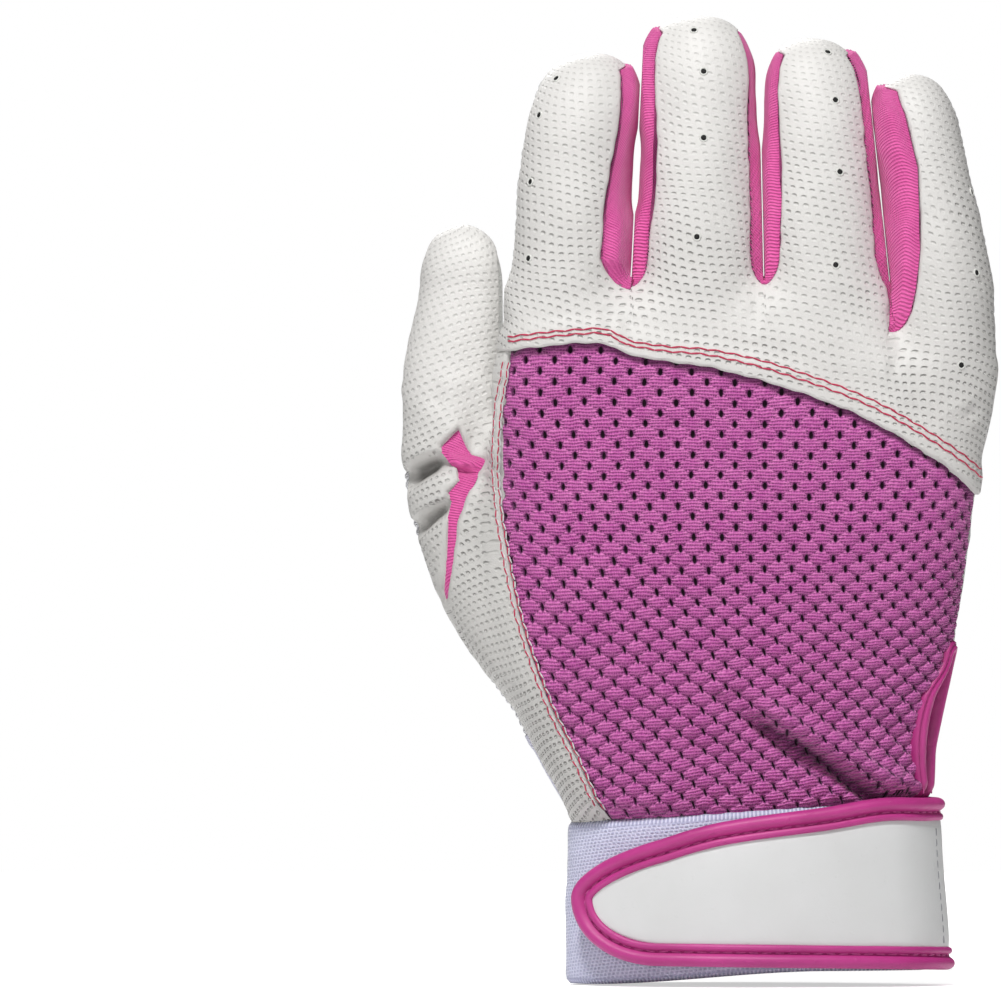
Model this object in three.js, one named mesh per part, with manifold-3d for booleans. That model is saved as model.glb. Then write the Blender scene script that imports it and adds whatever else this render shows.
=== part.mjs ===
// A youth batting glove for the right hand, in the shape it takes when worn, fingers up.
// Millimetres. The origin is the centre of the wrist opening, on the cuff's lower rim.
// +X points to the little finger, +Y out of the palm, -Y out of the back of the hand, +Z to the fingertips.
import * as THREE from "three";
import { mergeVertices } from "three/addons/utils/BufferGeometryUtils.js";
import Module from "manifold-3d";

const wasm = await Module();
wasm.setup();

// Driving dimensions

// Panels and seams
const WALL = 1.6; // leather and knit panels of the hand
const SEAM_GAP = 0.3; // clearance between two panels that a seam joins

// Cuff: an elastic band, open on the back under the strap
const CUFF_WIDTH = 68;
const CUFF_DEPTH = 34;
const CUFF_WALL = 1.8;
const CUFF_TOP_THUMB = 29.5; // top edge at the thumb side
const CUFF_TOP_LITTLE = 34; // top edge at the little-finger side
const CUFF_SLIT_START = 4; // where the band ends on the back, along its outside from the little-finger edge
const CUFF_SLIT_WIDTH = 3;

// Strap: the layers from the cuff outwards, and the outline along and across the cuff
const LOOP_THICKNESS = 0.8;
const HOOK_THICKNESS = 0.8;
const LINING_THICKNESS = 0.7;
const FACE_THICKNESS = 0.9;
const BINDING_WALL = 0.6;
const BINDING_WIDTH = 5.2;
const STRAP_LENGTH = 73.6;
const STRAP_LOWER_EDGE = 3.6; // height of the straight lower edge
const STRAP_ROOT_TOP = 34; // height of the upper edge at the little-finger side
const STRAP_END_TOP = 26.5; // height that the upper edge slopes to at the free end
const STRAP_NOSE_HEIGHT = 16; // height of the tip of the rounded free end
const STRAP_NOSE_UPPER = 28; // length of the rounding above the tip
const STRAP_NOSE_LOWER = 16; // length of the rounding below the tip
const PATCH_MARGIN = 2; // hook and loop patches stay this far inside the binding
const HOOK_LENGTH = 34;
const LOOP_LENGTH = 48;

// Hand: the four stations between the cuff and the knuckles
const HAND_SQUARENESS = 2.5;
const HEEL = { z: 44, left: -40.5, right: 31.8, depth: 33 };
const BALL = { z: 68, left: -46.2, right: 39, depth: 34 };
const PALM = { z: 90, left: -47.6, right: 42, depth: 31.5 };
const KNUCKLE_DEPTH = 22;
const KNUCKLE_RISE = 0.5; // how far the row of knuckles stands proud of the hand, back and palm
const KNUCKLE_MARGIN = 0.4; // hand beyond the outer fingers at the knuckles
const WEB_ROUNDING = 5; // height over which the hand rounds off to the webs between the fingers
const WEB_SHARE = 0.62; // depth of the webs, of the depth below them
const CROTCH = 129.2; // height of the index-middle and middle-ring crotches
const LITTLE_CROTCH = 118.7; // height of the ring-little crotch

// Fingers: widths at the crotch and at the upper level, length above the crotch, depth back to palm
const UPPER_LEVEL = 165;
const MIDDLE_FINGER_X = -9.5;
const INDEX = { rootWidth: 22, upperWidth: 19.6, length: 43.8, curlHeight: 146 };
const MIDDLE = { rootWidth: 23, upperWidth: 20.8, length: 50.8, curlHeight: 149 };
const RING = { rootWidth: 22.4, upperWidth: 19, length: 46.6, curlHeight: 147 };
const LITTLE = { rootWidth: 18.6, upperWidth: 15, length: 50.3, curlHeight: 139 };
const INDEX_MIDDLE_GAP = { root: 2.4, upper: 1 };
const MIDDLE_RING_GAP = { root: 1.2, upper: 2 };
const RING_LITTLE_GAP = { root: 1, upper: 1 };
const FINGER_ROOT_DEPTH = 20.6;
const FINGER_UPPER_DEPTH = 17.4;
const FINGER_DOME = 12; // height of the rounded fingertip
const FINGER_EMBED = 20; // how far a finger reaches down into the hand
const EMBED_SHARE = 0.7; // its size there, of its size at the crotch
const FINGER_CURL = 7; // how far the fingers lean towards the palm, at CURL_RISE above the crotch
const CURL_RISE = 50;
const FOURCHETTE_WIDTH = 7;

// Thumb: stations from the ball of the hand to the tip
const THUMB_WEB_GAP = 1; // between the hand and the free thumb, seen from the back
const THUMB_ROOT = { z: 50, x: -35, y: 0, width: 17, depth: 20 };
const THUMB_BALL = { z: 70, x: -46.5, y: 5, width: 21, depth: 21 };
const THUMB_CROTCH = { z: 92, x: -54.2, y: 9.5, width: 19.6, depth: 19.4 };
const THUMB_MIDDLE = { z: 112, y: 13.5, width: 18, depth: 18 };
const THUMB_UPPER = { z: 130, y: 16, width: 16.4, depth: 16.4 };
const THUMB_TIP = 141.5;
const THUMB_DOME = 11.5;
const THUMB_CURL_HEIGHT = 114;

// Vent: a bound slit up the little-finger side, from the cuff
const VENT_TOP = 63;
const VENT_BINDING = 2.4; // diameter of the piping
const VENT_OPENING = 0.6; // between the two bound edges

// Seam lines, as points (x, z) seen from the back of the hand
const HEM_LINE = [[-58, 116], [-36, 118.6], [-16, 115.6], [6, 110.8], [34.8, 97.3], [52, 81]];
const THUMB_SEAM = [
  [-43.5, 126], [-44.6, 110], [-45.4, 88], [-42.4, 67], [-37.6, 53], [-31.5, 40], [-24, 24],
];
const THUMB_GUSSET = [[-54.5, 103], [-50.5, 97], [-52.6, 86], [-57.2, 70], [-57, 86], [-56.8, 97]];
// Seam lines on the palm side
const WRIST_SEAM = [[-40, 66], [-33.5, 58], [-26, 47], [-19.9, 38], [-15.5, 22]];
const RIB_LOWER_EDGE = [[-28, 59], [-49, 39]];

// Facets
const HAND_SIDES = 36;
const FINGER_SIDES = 14;
const DOME_ANGLES = [0, 28, 54, 76]; // degrees up the fingertip, the last one closed by a small flat
const FAR = 120; // half size of the cutting solids, beyond the glove on every side

// Geometry helpers

// Triangles that close a flat ring, as indices into it, wound the way the ring runs.
function capFaces(ring) {
  const normal = new THREE.Vector3();
  ring.forEach((p, i) => {
    const q = ring[(i + 1) % ring.length];
    normal.x += (p.y - q.y) * (p.z + q.z);
    normal.y += (p.z - q.z) * (p.x + q.x);
    normal.z += (p.x - q.x) * (p.y + q.y);
  });
  const across = new THREE.Vector3(1, 0, 0);
  if (Math.abs(normal.x) > 0.7 * normal.length()) across.set(0, 1, 0);
  const u = across.clone().cross(normal).normalize();
  const v = normal.clone().normalize().cross(u);
  const flat = ring.map((p) => new THREE.Vector2(p.dot(u), p.dot(v)));
  return THREE.ShapeUtils.triangulateShape(flat, []).map(([a, b, c]) => {
    const turn = flat[b].clone().sub(flat[a]).cross(flat[c].clone().sub(flat[a]));
    return turn > 0 ? [a, b, c] : [a, c, b];
  });
}

// Skins a row of rings with equal counts into one closed geometry. They run anticlockwise about the row.
function loft(rings) {
  const count = rings[0].length;
  const faces = [];
  for (let r = 0; r + 1 < rings.length; r++) {
    for (let i = 0; i < count; i++) {
      const a = r * count + i;
      const b = r * count + ((i + 1) % count);
      faces.push([a, b, b + count], [a, b + count, a + count]);
    }
  }
  const top = (rings.length - 1) * count;
  capFaces(rings[0]).forEach(([a, b, c]) => faces.push([a, c, b]));
  capFaces(rings.at(-1)).forEach((face) => faces.push(face.map((i) => i + top)));
  const positions = rings.flat().flatMap((p) => p.toArray());
  const geometry = new THREE.BufferGeometry();
  geometry.setAttribute("position", new THREE.Float32BufferAttribute(positions, 3));
  geometry.setIndex(faces.flat());
  return geometry;
}

// A closed geometry as a solid that can be joined and cut.
function solidOf(geometry) {
  const bare = new THREE.BufferGeometry();
  bare.setAttribute("position", geometry.getAttribute("position"));
  if (geometry.index) bare.setIndex(geometry.index);
  const merged = mergeVertices(bare, 1e-4);
  const triVerts = new Uint32Array(merged.index.array);
  return new wasm.Manifold(
    new wasm.Mesh({ numProp: 3, vertProperties: merged.getAttribute("position").array, triVerts }),
  );
}

function geometryOf(solid) {
  const cut = solid.getMesh();
  const geometry = new THREE.BufferGeometry();
  geometry.setAttribute("position", new THREE.Float32BufferAttribute(cut.vertProperties, cut.numProp));
  geometry.setIndex(new THREE.BufferAttribute(cut.triVerts, 1));
  geometry.computeVertexNormals();
  return geometry;
}

const joined = (solids) => solids.reduce((whole, next) => whole.add(next));
const lerp = THREE.MathUtils.lerp;

// One size of a row of stations at height z, on a Catmull-Rom curve through them, level beyond the ends.
function sizeAt(stations, key, z) {
  const last = stations.length - 2;
  const found = stations.findIndex((s) => z < s.z) - 1;
  const i = found < -1 ? last : THREE.MathUtils.clamp(found, 0, last);
  const [a, b] = [stations[i], stations[i + 1]];
  const before = stations[Math.max(i - 1, 0)];
  const after = stations[Math.min(i + 2, last + 1)];
  const span = b.z - a.z;
  const slopeA = ((b[key] - before[key]) / (b.z - before.z)) * span;
  const slopeB = ((after[key] - a[key]) / (after.z - a.z)) * span;
  const t = THREE.MathUtils.clamp((z - a.z) / span, 0, 1);
  const [t2, t3] = [t * t, t * t * t];
  const start = (2 * t3 - 3 * t2 + 1) * a[key] + (t3 - 2 * t2 + t) * slopeA;
  const end = (3 * t2 - 2 * t3) * b[key] + (t3 - t2) * slopeB;
  return start + end;
}

// A level ring: an ellipse, or with squareness over 2 a superellipse.
function levelRing({ x, y, halfWidth, halfDepth }, z, sides, squareness = 2) {
  const power = (c) => Math.sign(c) * Math.abs(c) ** (2 / squareness);
  return Array.from({ length: sides }, (_, i) => {
    const angle = (2 * Math.PI * i) / sides;
    const across = halfWidth * power(Math.cos(angle));
    const deep = halfDepth * power(Math.sin(angle));
    return new THREE.Vector3(x + across, y + deep, z);
  });
}

function levels(from, to, steps) {
  return Array.from({ length: steps + 1 }, (_, i) => lerp(from, to, i / steps));
}

// A finger or thumb: level sections from its root to a rounded tip, all drawn in by inset.
function digit(sectionAt, from, tip, dome, inset) {
  const shoulder = tip - dome;
  const drawnIn = (z, share) => {
    const section = sectionAt(z);
    return {
      x: section.x,
      y: section.y,
      halfWidth: (section.width / 2 - inset) * share,
      halfDepth: (section.depth / 2 - inset) * share,
    };
  };
  const shaft = levels(from, shoulder, 5)
    .slice(0, -1)
    .map((z) => levelRing(drawnIn(z, 1), z, FINGER_SIDES));
  const rounded = DOME_ANGLES.map((degrees) => {
    const angle = THREE.MathUtils.degToRad(degrees);
    const z = shoulder + (dome - inset) * Math.sin(angle);
    return levelRing(drawnIn(z, Math.cos(angle)), z, FINGER_SIDES);
  });
  return solidOf(loft([...shaft, ...rounded]));
}

// A prism along Y over an outline of points (x, z), running anticlockwise or clockwise.
function prism(outline, fromY = -FAR, toY = FAR) {
  const shape = new THREE.Shape(outline.map(([x, z]) => new THREE.Vector2(x, z)));
  const geometry = new THREE.ExtrudeGeometry(shape, { depth: toY - fromY, bevelEnabled: false });
  return solidOf(geometry.rotateX(Math.PI / 2).translate(0, toY, 0));
}

// A seam line as a smooth row of points (x, z).
function smoothLine(points, steps = 14) {
  return new THREE.SplineCurve(points.map(([x, z]) => new THREE.Vector2(x, z)))
    .getPoints(steps)
    .map((p) => [p.x, p.y]);
}

// The same line set off to its left by a distance.
function offsetLine(line, distance) {
  return line.map(([x, z], i) => {
    const [x0, z0] = line[Math.max(i - 1, 0)];
    const [x1, z1] = line[Math.min(i + 1, line.length - 1)];
    const length = Math.hypot(x1 - x0, z1 - z0);
    return [x - (distance * (z1 - z0)) / length, z + (distance * (x1 - x0)) / length];
  });
}

// Hand and fingers

const FINGERS = { index: INDEX, middle: MIDDLE, ring: RING, little: LITTLE };
const NAMES = Object.keys(FINGERS);
const WEBS = [INDEX_MIDDLE_GAP, MIDDLE_RING_GAP, RING_LITTLE_GAP];

// Centres of the fingers side by side at one level, from the middle finger outwards.
function standSideBySide(widthKey, gapKey) {
  const widths = NAMES.map((name) => FINGERS[name][widthKey]);
  const step = (i) => (widths[i] + widths[i + 1]) / 2 + WEBS[i][gapKey];
  const middle = MIDDLE_FINGER_X;
  return [middle - step(0), middle, middle + step(1), middle + step(1) + step(2)];
}
const rootCentres = standSideBySide("rootWidth", "root");
const upperCentres = standSideBySide("upperWidth", "upper");

// The middle of the glove's depth: upright up to the crotch, then curling towards the palm.
const curlAt = (z) => FINGER_CURL * (Math.max(z - CROTCH, 0) / CURL_RISE) ** 2;
const curlHeights = [...levels(CROTCH, CROTCH + CURL_RISE, 5), FAR * 2];

NAMES.forEach((name, i) => {
  const finger = FINGERS[name];
  const levelShare = (z) => Math.max(z - CROTCH, 0) / (UPPER_LEVEL - CROTCH);
  finger.crotch = name === "little" ? LITTLE_CROTCH : CROTCH;
  finger.tip = finger.crotch + finger.length;
  finger.axisAt = (z) => lerp(rootCentres[i], upperCentres[i], levelShare(z));
  finger.sectionAt = (z) => {
    const rooted = lerp(1, EMBED_SHARE, Math.max(finger.crotch - z, 0) / FINGER_EMBED);
    return {
      x: finger.axisAt(z),
      y: curlAt(z),
      width: lerp(finger.rootWidth, finger.upperWidth, levelShare(z)) * rooted,
      depth: lerp(FINGER_ROOT_DEPTH, FINGER_UPPER_DEPTH, levelShare(z)) * rooted,
    };
  };
});

const cuffTopAt = (x) => lerp(CUFF_TOP_THUMB, CUFF_TOP_LITTLE, x / CUFF_WIDTH + 0.5);
const WRIST = {
  z: (CUFF_TOP_THUMB + CUFF_TOP_LITTLE) / 2,
  left: -CUFF_WIDTH / 2,
  right: CUFF_WIDTH / 2,
  depth: CUFF_DEPTH,
};
const KNUCKLES = {
  z: LITTLE_CROTCH,
  left: rootCentres[0] - INDEX.rootWidth / 2 - KNUCKLE_MARGIN,
  right: rootCentres[3] + LITTLE.rootWidth / 2 + KNUCKLE_MARGIN,
  depth: KNUCKLE_DEPTH,
};
const HAND = [WRIST, HEEL, BALL, PALM, KNUCKLES];

function handSectionAt(z, inset) {
  const left = sizeAt(HAND, "left", z) + inset;
  const right = sizeAt(HAND, "right", z) - inset;
  return {
    x: (left + right) / 2,
    y: 0,
    halfWidth: (right - left) / 2,
    halfDepth: sizeAt(HAND, "depth", z) / 2 - inset,
  };
}

// The free thumb stands beside the hand, so its upper stations are placed from the hand's edge.
const webLine = KNUCKLES.left - THUMB_WEB_GAP / 2;
const beside = (station) => ({ ...station, x: webLine - THUMB_WEB_GAP / 2 - station.width / 2 });
const THUMB = [THUMB_ROOT, THUMB_BALL, THUMB_CROTCH, beside(THUMB_MIDDLE), beside(THUMB_UPPER)];
const thumbSectionAt = (z) =>
  Object.fromEntries(["x", "y", "width", "depth"].map((key) => [key, sizeAt(THUMB, key, z)]));

// The whole glove above the cuff as one closed form, drawn in by inset and starting at the given height.
function gloveForm(inset, from) {
  const handRing = (z, depthShare) => {
    const section = handSectionAt(z, inset);
    section.halfDepth *= depthShare;
    return levelRing(section, z, HAND_SIDES, HAND_SQUARENESS);
  };
  const hand = levels(from, LITTLE_CROTCH - WEB_ROUNDING - inset, 9).map((z) => handRing(z, 1));
  hand.push(handRing(LITTLE_CROTCH - inset, WEB_SHARE));
  const rowLeft = rootCentres[0] - INDEX.rootWidth / 2;
  const rowRight = rootCentres[2] + RING.rootWidth / 2;
  const row = (z, depth) => {
    const section = {
      x: (rowLeft + rowRight) / 2,
      y: 0,
      halfWidth: (rowRight - rowLeft) / 2 - inset,
      halfDepth: depth / 2 - inset,
    };
    return levelRing(section, z, HAND_SIDES, HAND_SQUARENESS * 2);
  };
  const knuckleRow = [
    row(LITTLE_CROTCH - FINGER_EMBED, KNUCKLE_DEPTH * EMBED_SHARE),
    row(LITTLE_CROTCH, KNUCKLE_DEPTH + 2 * KNUCKLE_RISE),
    row(CROTCH - WEB_ROUNDING - inset, FINGER_ROOT_DEPTH),
    row(CROTCH - inset, FINGER_ROOT_DEPTH * WEB_SHARE),
  ];
  const fingers = Object.values(FINGERS).map((finger) =>
    digit(finger.sectionAt, finger.crotch - FINGER_EMBED, finger.tip, FINGER_DOME, inset),
  );
  const thumb = digit(thumbSectionAt, THUMB_ROOT.z, THUMB_TIP, THUMB_DOME, inset);
  return joined([solidOf(loft(hand)), solidOf(loft(knuckleRow)), thumb, ...fingers]);
}

// Half of the space on the palm side (sign 1) or the back side (sign -1) of the side seams.
// The seam follows the thumb's middle left of the web line, and the fingers' middle right of it.
function sideSpace(sign) {
  const heights = [0, ...levels(THUMB_ROOT.z, CROTCH, 8), ...curlHeights.slice(1)];
  const shift = (sign * SEAM_GAP) / 2;
  const ring = (x, middleAt) => {
    const seam = heights.map((z) => new THREE.Vector3(x, middleAt(z) + shift, z));
    const outer = [heights.at(-1), heights[0]].map((z) => new THREE.Vector3(x, sign * FAR, z));
    return sign > 0 ? [...seam, ...outer].reverse() : [...seam, ...outer];
  };
  const thumbMiddle = (z) => (z < THUMB_ROOT.z ? 0 : thumbSectionAt(z).y);
  return solidOf(
    loft([
      ring(-FAR, thumbMiddle),
      ring(webLine - SEAM_GAP / 2, thumbMiddle),
      ring(webLine + SEAM_GAP / 2, curlAt),
      ring(FAR, curlAt),
    ]),
  );
}

// The band of the finger sidewalls, between the middles of the index and the little finger.
function fourchetteSpace(margin) {
  const heights = [LITTLE_CROTCH - FINGER_EMBED, ...curlHeights];
  const half = FOURCHETTE_WIDTH / 2 + margin;
  const ring = (x) => [
    ...heights.map((z) => new THREE.Vector3(x, curlAt(z) + half, z)),
    ...heights.map((z) => new THREE.Vector3(x, curlAt(z) - half, z)).reverse(),
  ];
  const band = solidOf(loft([ring(-FAR), ring(FAR)]));
  const ends = [heights[0], heights.at(-1)];
  const side = (finger, sign) => ends.map((z) => [finger.axisAt(z) + sign * margin, z]);
  return band.intersect(prism([...side(INDEX, -1), ...side(LITTLE, 1).reverse()]));
}

// Where a finger's upper half is, from its curl crease up, out to the middle of the gaps beside it.
function tipSpace(i, drop) {
  const gapMiddle = (left, z) => {
    const a = FINGERS[NAMES[left]].sectionAt(z);
    const b = FINGERS[NAMES[left + 1]].sectionAt(z);
    return (a.x + a.width / 2 + b.x - b.width / 2) / 2;
  };
  const low = FINGERS[NAMES[i]].curlHeight - drop;
  const left = (z) => (i === 0 ? webLine : gapMiddle(i - 1, z));
  const right = (z) => (i === 3 ? FAR : gapMiddle(i, z));
  const high = FAR * 2;
  return prism([[left(low), low], [right(low), low], [right(high), high], [left(high), high]]);
}

function thumbTipSpace(drop) {
  const low = THUMB_CURL_HEIGHT - drop;
  return prism([[-FAR, low], [webLine, low], [webLine, FAR * 2], [-FAR, FAR * 2]]);
}

// Everything above the sloping top of the cuff.
const aboveCuff = prism([
  [-FAR, cuffTopAt(-FAR) + SEAM_GAP],
  [FAR, cuffTopAt(FAR) + SEAM_GAP],
  [FAR, FAR * 2],
  [-FAR, FAR * 2],
]);

const BELOW_CUFF_TOP = 4; // the form starts this far below the cuff's top edge and is cut at the cuff
const formStart = Math.min(CUFF_TOP_THUMB, CUFF_TOP_LITTLE) - BELOW_CUFF_TOP;
const shell = gloveForm(0, formStart)
  .subtract(gloveForm(WALL, formStart - BELOW_CUFF_TOP))
  .intersect(aboveCuff);

// The vent's slot through the little-finger side seam.
const ventLegOffset = (VENT_OPENING + VENT_BINDING) / 2;
const ventHalf = ventLegOffset + VENT_BINDING / 2 + SEAM_GAP;
const ventEnd = VENT_TOP + SEAM_GAP;
const ventSlot = prism([[0, 0], [FAR, 0], [FAR, ventEnd], [0, ventEnd]], -ventHalf, ventHalf);

const sidewalls = fourchetteSpace(0).intersect(shell);
const sewnSides = fourchetteSpace(SEAM_GAP);
const palmSide = shell.intersect(sideSpace(1)).subtract(sewnSides).subtract(ventSlot);
const backSide = shell.intersect(sideSpace(-1)).subtract(sewnSides).subtract(ventSlot);

const tips = NAMES.map((_, i) => tipSpace(i, 0));
const thumbTip = thumbTipSpace(0);
const aroundTips = joined([...NAMES.map((_, i) => tipSpace(i, SEAM_GAP)), thumbTipSpace(SEAM_GAP)]);

// Panels of the back, between the hem of the finger leather and the thumb seam
const hem = smoothLine(HEM_LINE);
const thumbSeam = smoothLine(THUMB_SEAM);
const ABOVE = [[FAR, FAR * 2], [-FAR, FAR * 2]];
const aboveHem = (shift) =>
  prism([[-FAR, hem[0][1]], ...offsetLine(hem, shift), [FAR, hem.at(-1)[1]], ...ABOVE]);
const leftOfThumbSeam = (shift) => {
  const seam = offsetLine(thumbSeam, shift).reverse();
  return prism([[thumbSeam.at(-1)[0], 0], ...seam, [-FAR, thumbSeam[0][1]], [-FAR, 0]]);
};
const leftOfWebLine = (shift) => {
  const x = webLine + shift;
  return prism([[-FAR, 0], [x, 0], [x, FAR * 2], [-FAR, FAR * 2]]);
};
const thumbSide = leftOfThumbSeam(0).subtract(aboveHem(-SEAM_GAP)).add(leftOfWebLine(0));
const backLeather = aboveHem(-SEAM_GAP).add(leftOfThumbSeam(SEAM_GAP)).add(leftOfWebLine(SEAM_GAP));
const gussetOutline = smoothLine([...THUMB_GUSSET, THUMB_GUSSET[0]], 20).slice(0, -1);
const gussetSpace = prism(gussetOutline);
const gussetAndSeam = prism(offsetLine(gussetOutline, SEAM_GAP));

// Panels of the wrist on the palm side, at the base of the thumb
const wristSeam = smoothLine(WRIST_SEAM);
const wristCorner = (shift) => {
  const seam = offsetLine(wristSeam, shift).reverse();
  return prism([[-FAR, 0], [wristSeam.at(-1)[0], 0], ...seam, [-FAR, wristSeam[0][1]]]);
};
const [ribInner, ribOuter] = RIB_LOWER_EDGE;
const aboveRibEdge = (shift) => {
  const edge = offsetLine([ribOuter, ribInner], shift);
  return prism([...edge, [ribInner[0], FAR], [-FAR, FAR], [-FAR, ribOuter[1] + shift]]);
};

const lowerBack = backSide.subtract(aroundTips);
const lowerPalm = palmSide.subtract(aroundTips);
const thumbBack = lowerBack.intersect(thumbSide);
const wristPalm = lowerPalm.intersect(wristCorner(0));

// Cuff and strap, as sheets wrapped round the wrist

// The cuff's outline from its little-finger edge over the back, as equal angles with the length run so far.
const CUFF_SAMPLES = 360;
const cuffAngles = levels(0, 2 * Math.PI, CUFF_SAMPLES);
const onCuff = (angle) =>
  new THREE.Vector2((CUFF_WIDTH / 2) * Math.cos(angle), (-CUFF_DEPTH / 2) * Math.sin(angle));
const cuffRun = [0];
cuffAngles.slice(1).forEach((angle, i) => {
  cuffRun.push(cuffRun[i] + onCuff(angle).distanceTo(onCuff(cuffAngles[i])));
});
const CUFF_GIRTH = cuffRun.at(-1);

function cuffAngleAt(along) {
  const run = THREE.MathUtils.euclideanModulo(along, CUFF_GIRTH);
  const i = cuffRun.findIndex((length) => length > run) - 1;
  return lerp(cuffAngles[i], cuffAngles[i + 1], (run - cuffRun[i]) / (cuffRun[i + 1] - cuffRun[i]));
}

// The point at a length along the cuff, at height z, standing off its outside.
function wrap(along, z, standOff) {
  const angle = cuffAngleAt(along);
  const normal = new THREE.Vector2(Math.cos(angle) / CUFF_WIDTH, -Math.sin(angle) / CUFF_DEPTH).normalize();
  const p = onCuff(angle).addScaledVector(normal, standOff);
  return new THREE.Vector3(p.x, p.y, z);
}

// A sheet wrapped on the cuff over a row of lengths, with its lower and upper edges as functions of length.
function wrappedSheet({ runs, lower, upper, inner, outer, rise = () => 0 }) {
  const rings = runs.map((along) => [
    wrap(along, lower(along), inner + rise(along)),
    wrap(along, lower(along), outer + rise(along)),
    wrap(along, upper(along), outer + rise(along)),
    wrap(along, upper(along), inner + rise(along)),
  ]);
  return loft(rings);
}

const cuffBand = wrappedSheet({
  runs: levels(CUFF_SLIT_START + CUFF_SLIT_WIDTH, CUFF_GIRTH + CUFF_SLIT_START, 64),
  lower: () => 0,
  upper: (along) => cuffTopAt(wrap(along, 0, 0).x),
  inner: -CUFF_WALL,
  outer: 0,
});

// Layers outwards from the cuff, each clear of the last one
const loopInner = SEAM_GAP;
const loopOuter = loopInner + LOOP_THICKNESS;
const hookInner = loopOuter + SEAM_GAP;
const hookOuter = hookInner + HOOK_THICKNESS;
const liningInner = hookOuter + SEAM_GAP;
const liningOuter = liningInner + LINING_THICKNESS;
const faceInner = liningOuter + SEAM_GAP;
const faceOuter = faceInner + FACE_THICKNESS;
const bindingInner = liningInner - SEAM_GAP - BINDING_WALL;
const bindingOuter = faceOuter + SEAM_GAP + BINDING_WALL;

// The strap's edges, drawn in by a margin: straight runs that round off to the tip of the free end.
function nose(along, margin, rounding) {
  const end = STRAP_LENGTH - margin;
  const share = THREE.MathUtils.clamp((along - (end - rounding)) / rounding, 0, 1);
  return Math.sqrt(1 - share * share);
}
function strapUpper(along, margin) {
  const slope = lerp(STRAP_ROOT_TOP, STRAP_END_TOP, along / STRAP_LENGTH) - margin;
  return STRAP_NOSE_HEIGHT + (slope - STRAP_NOSE_HEIGHT) * nose(along, margin, STRAP_NOSE_UPPER);
}
function strapLower(along, margin) {
  const straight = STRAP_LOWER_EDGE + margin;
  return STRAP_NOSE_HEIGHT - (STRAP_NOSE_HEIGHT - straight) * nose(along, margin, STRAP_NOSE_LOWER);
}

// Rows of lengths along the strap: equal steps, then closer and closer ones round the free end
const STRAP_STEPS = 20;
const NOSE_STEPS = 6;
const strapRuns = (end) => [
  ...levels(0, STRAP_LENGTH - STRAP_NOSE_LOWER, STRAP_STEPS),
  ...levels(0, Math.PI / 2, NOSE_STEPS)
    .slice(1)
    .map((angle) => lerp(STRAP_LENGTH - STRAP_NOSE_LOWER, end, Math.sin(angle))),
];

// At its sewn root the strap lies on the cuff, and from there it rises over the hook and loop patches.
const ROOT_LENGTH = 4; // sewn flat
const RISE_LENGTH = 14;
const settled = (along) => {
  const risen = THREE.MathUtils.smoothstep(along, ROOT_LENGTH, ROOT_LENGTH + RISE_LENGTH);
  return (SEAM_GAP - bindingInner) * (1 - risen);
};

const BLUNT = 0.15; // a sheet stops this short of the tip, where its edges would meet in a point
const bindingCover = BINDING_WALL + SEAM_GAP;
function strapSheet(inner, outer, margin, from = 0) {
  const end = STRAP_LENGTH - margin - BLUNT;
  return wrappedSheet({
    runs: strapRuns(end).filter((along) => along >= from),
    lower: (along) => strapLower(along, margin),
    upper: (along) => strapUpper(along, margin),
    inner,
    outer,
    rise: settled,
  });
}

// The binding: a channel that wraps both faces of the strap's edge, along the top, round the tip and back.
function strapBinding() {
  const bed = BINDING_WALL;
  const slot = [bindingInner + BINDING_WALL, bindingOuter - BINDING_WALL];
  const channel = [
    [-BINDING_WIDTH, bindingOuter],
    [-bed, bindingOuter],
    [0, slot[1]],
    [0, slot[0]],
    [-bed, bindingInner],
    [-BINDING_WIDTH, bindingInner],
    [-BINDING_WIDTH, slot[0]],
    [-bed, slot[0]],
    [-bed, slot[1]],
    [-BINDING_WIDTH, slot[1]],
  ];
  const runs = strapRuns(STRAP_LENGTH);
  const edge = [
    ...runs.map((along) => [along, strapUpper(along, 0)]),
    ...runs.slice(0, -1).reverse().map((along) => [along, strapLower(along, 0)]),
  ];
  const rings = edge.map(([along, z], i) => {
    const [a0, z0] = edge[Math.max(i - 1, 0)];
    const [a1, z1] = edge[Math.min(i + 1, edge.length - 1)];
    const length = Math.hypot(a1 - a0, z1 - z0);
    const outward = [-(z1 - z0) / length, (a1 - a0) / length];
    return channel.map(([out, standOff]) =>
      wrap(along + out * outward[0], z + out * outward[1], standOff + settled(along)),
    );
  });
  return loft(rings);
}

// A patch of hook or loop under the strap, inside its binding, back from the free end.
function patch(inner, outer, length) {
  const margin = BINDING_WIDTH + PATCH_MARGIN;
  return strapSheet(inner, outer, margin, STRAP_LENGTH - margin - length);
}

// The vent's piping, up one edge of the slit, over its top and down the other edge.
function ventBinding() {
  const lowest = cuffTopAt(CUFF_WIDTH / 2) + SEAM_GAP + VENT_BINDING / 2;
  const legs = levels(lowest, VENT_TOP - VENT_BINDING / 2 - ventLegOffset, 6);
  const arch = levels(0, Math.PI, 6).slice(1, -1);
  const surface = (y, z) => new THREE.Vector3(sizeAt(HAND, "right", z) - WALL / 2, y, z);
  const path = new THREE.CatmullRomCurve3([
    ...legs.map((z) => surface(-ventLegOffset, z)),
    ...arch.map((angle) =>
      surface(-ventLegOffset * Math.cos(angle), legs.at(-1) + ventLegOffset * Math.sin(angle)),
    ),
    ...legs.map((z) => surface(ventLegOffset, z)).reverse(),
  ]);
  const round = new THREE.Shape().absarc(0, 0, VENT_BINDING / 2, 0, 2 * Math.PI);
  return new THREE.ExtrudeGeometry(round, { steps: 20, curveSegments: 4, extrudePath: path });
}

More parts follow.
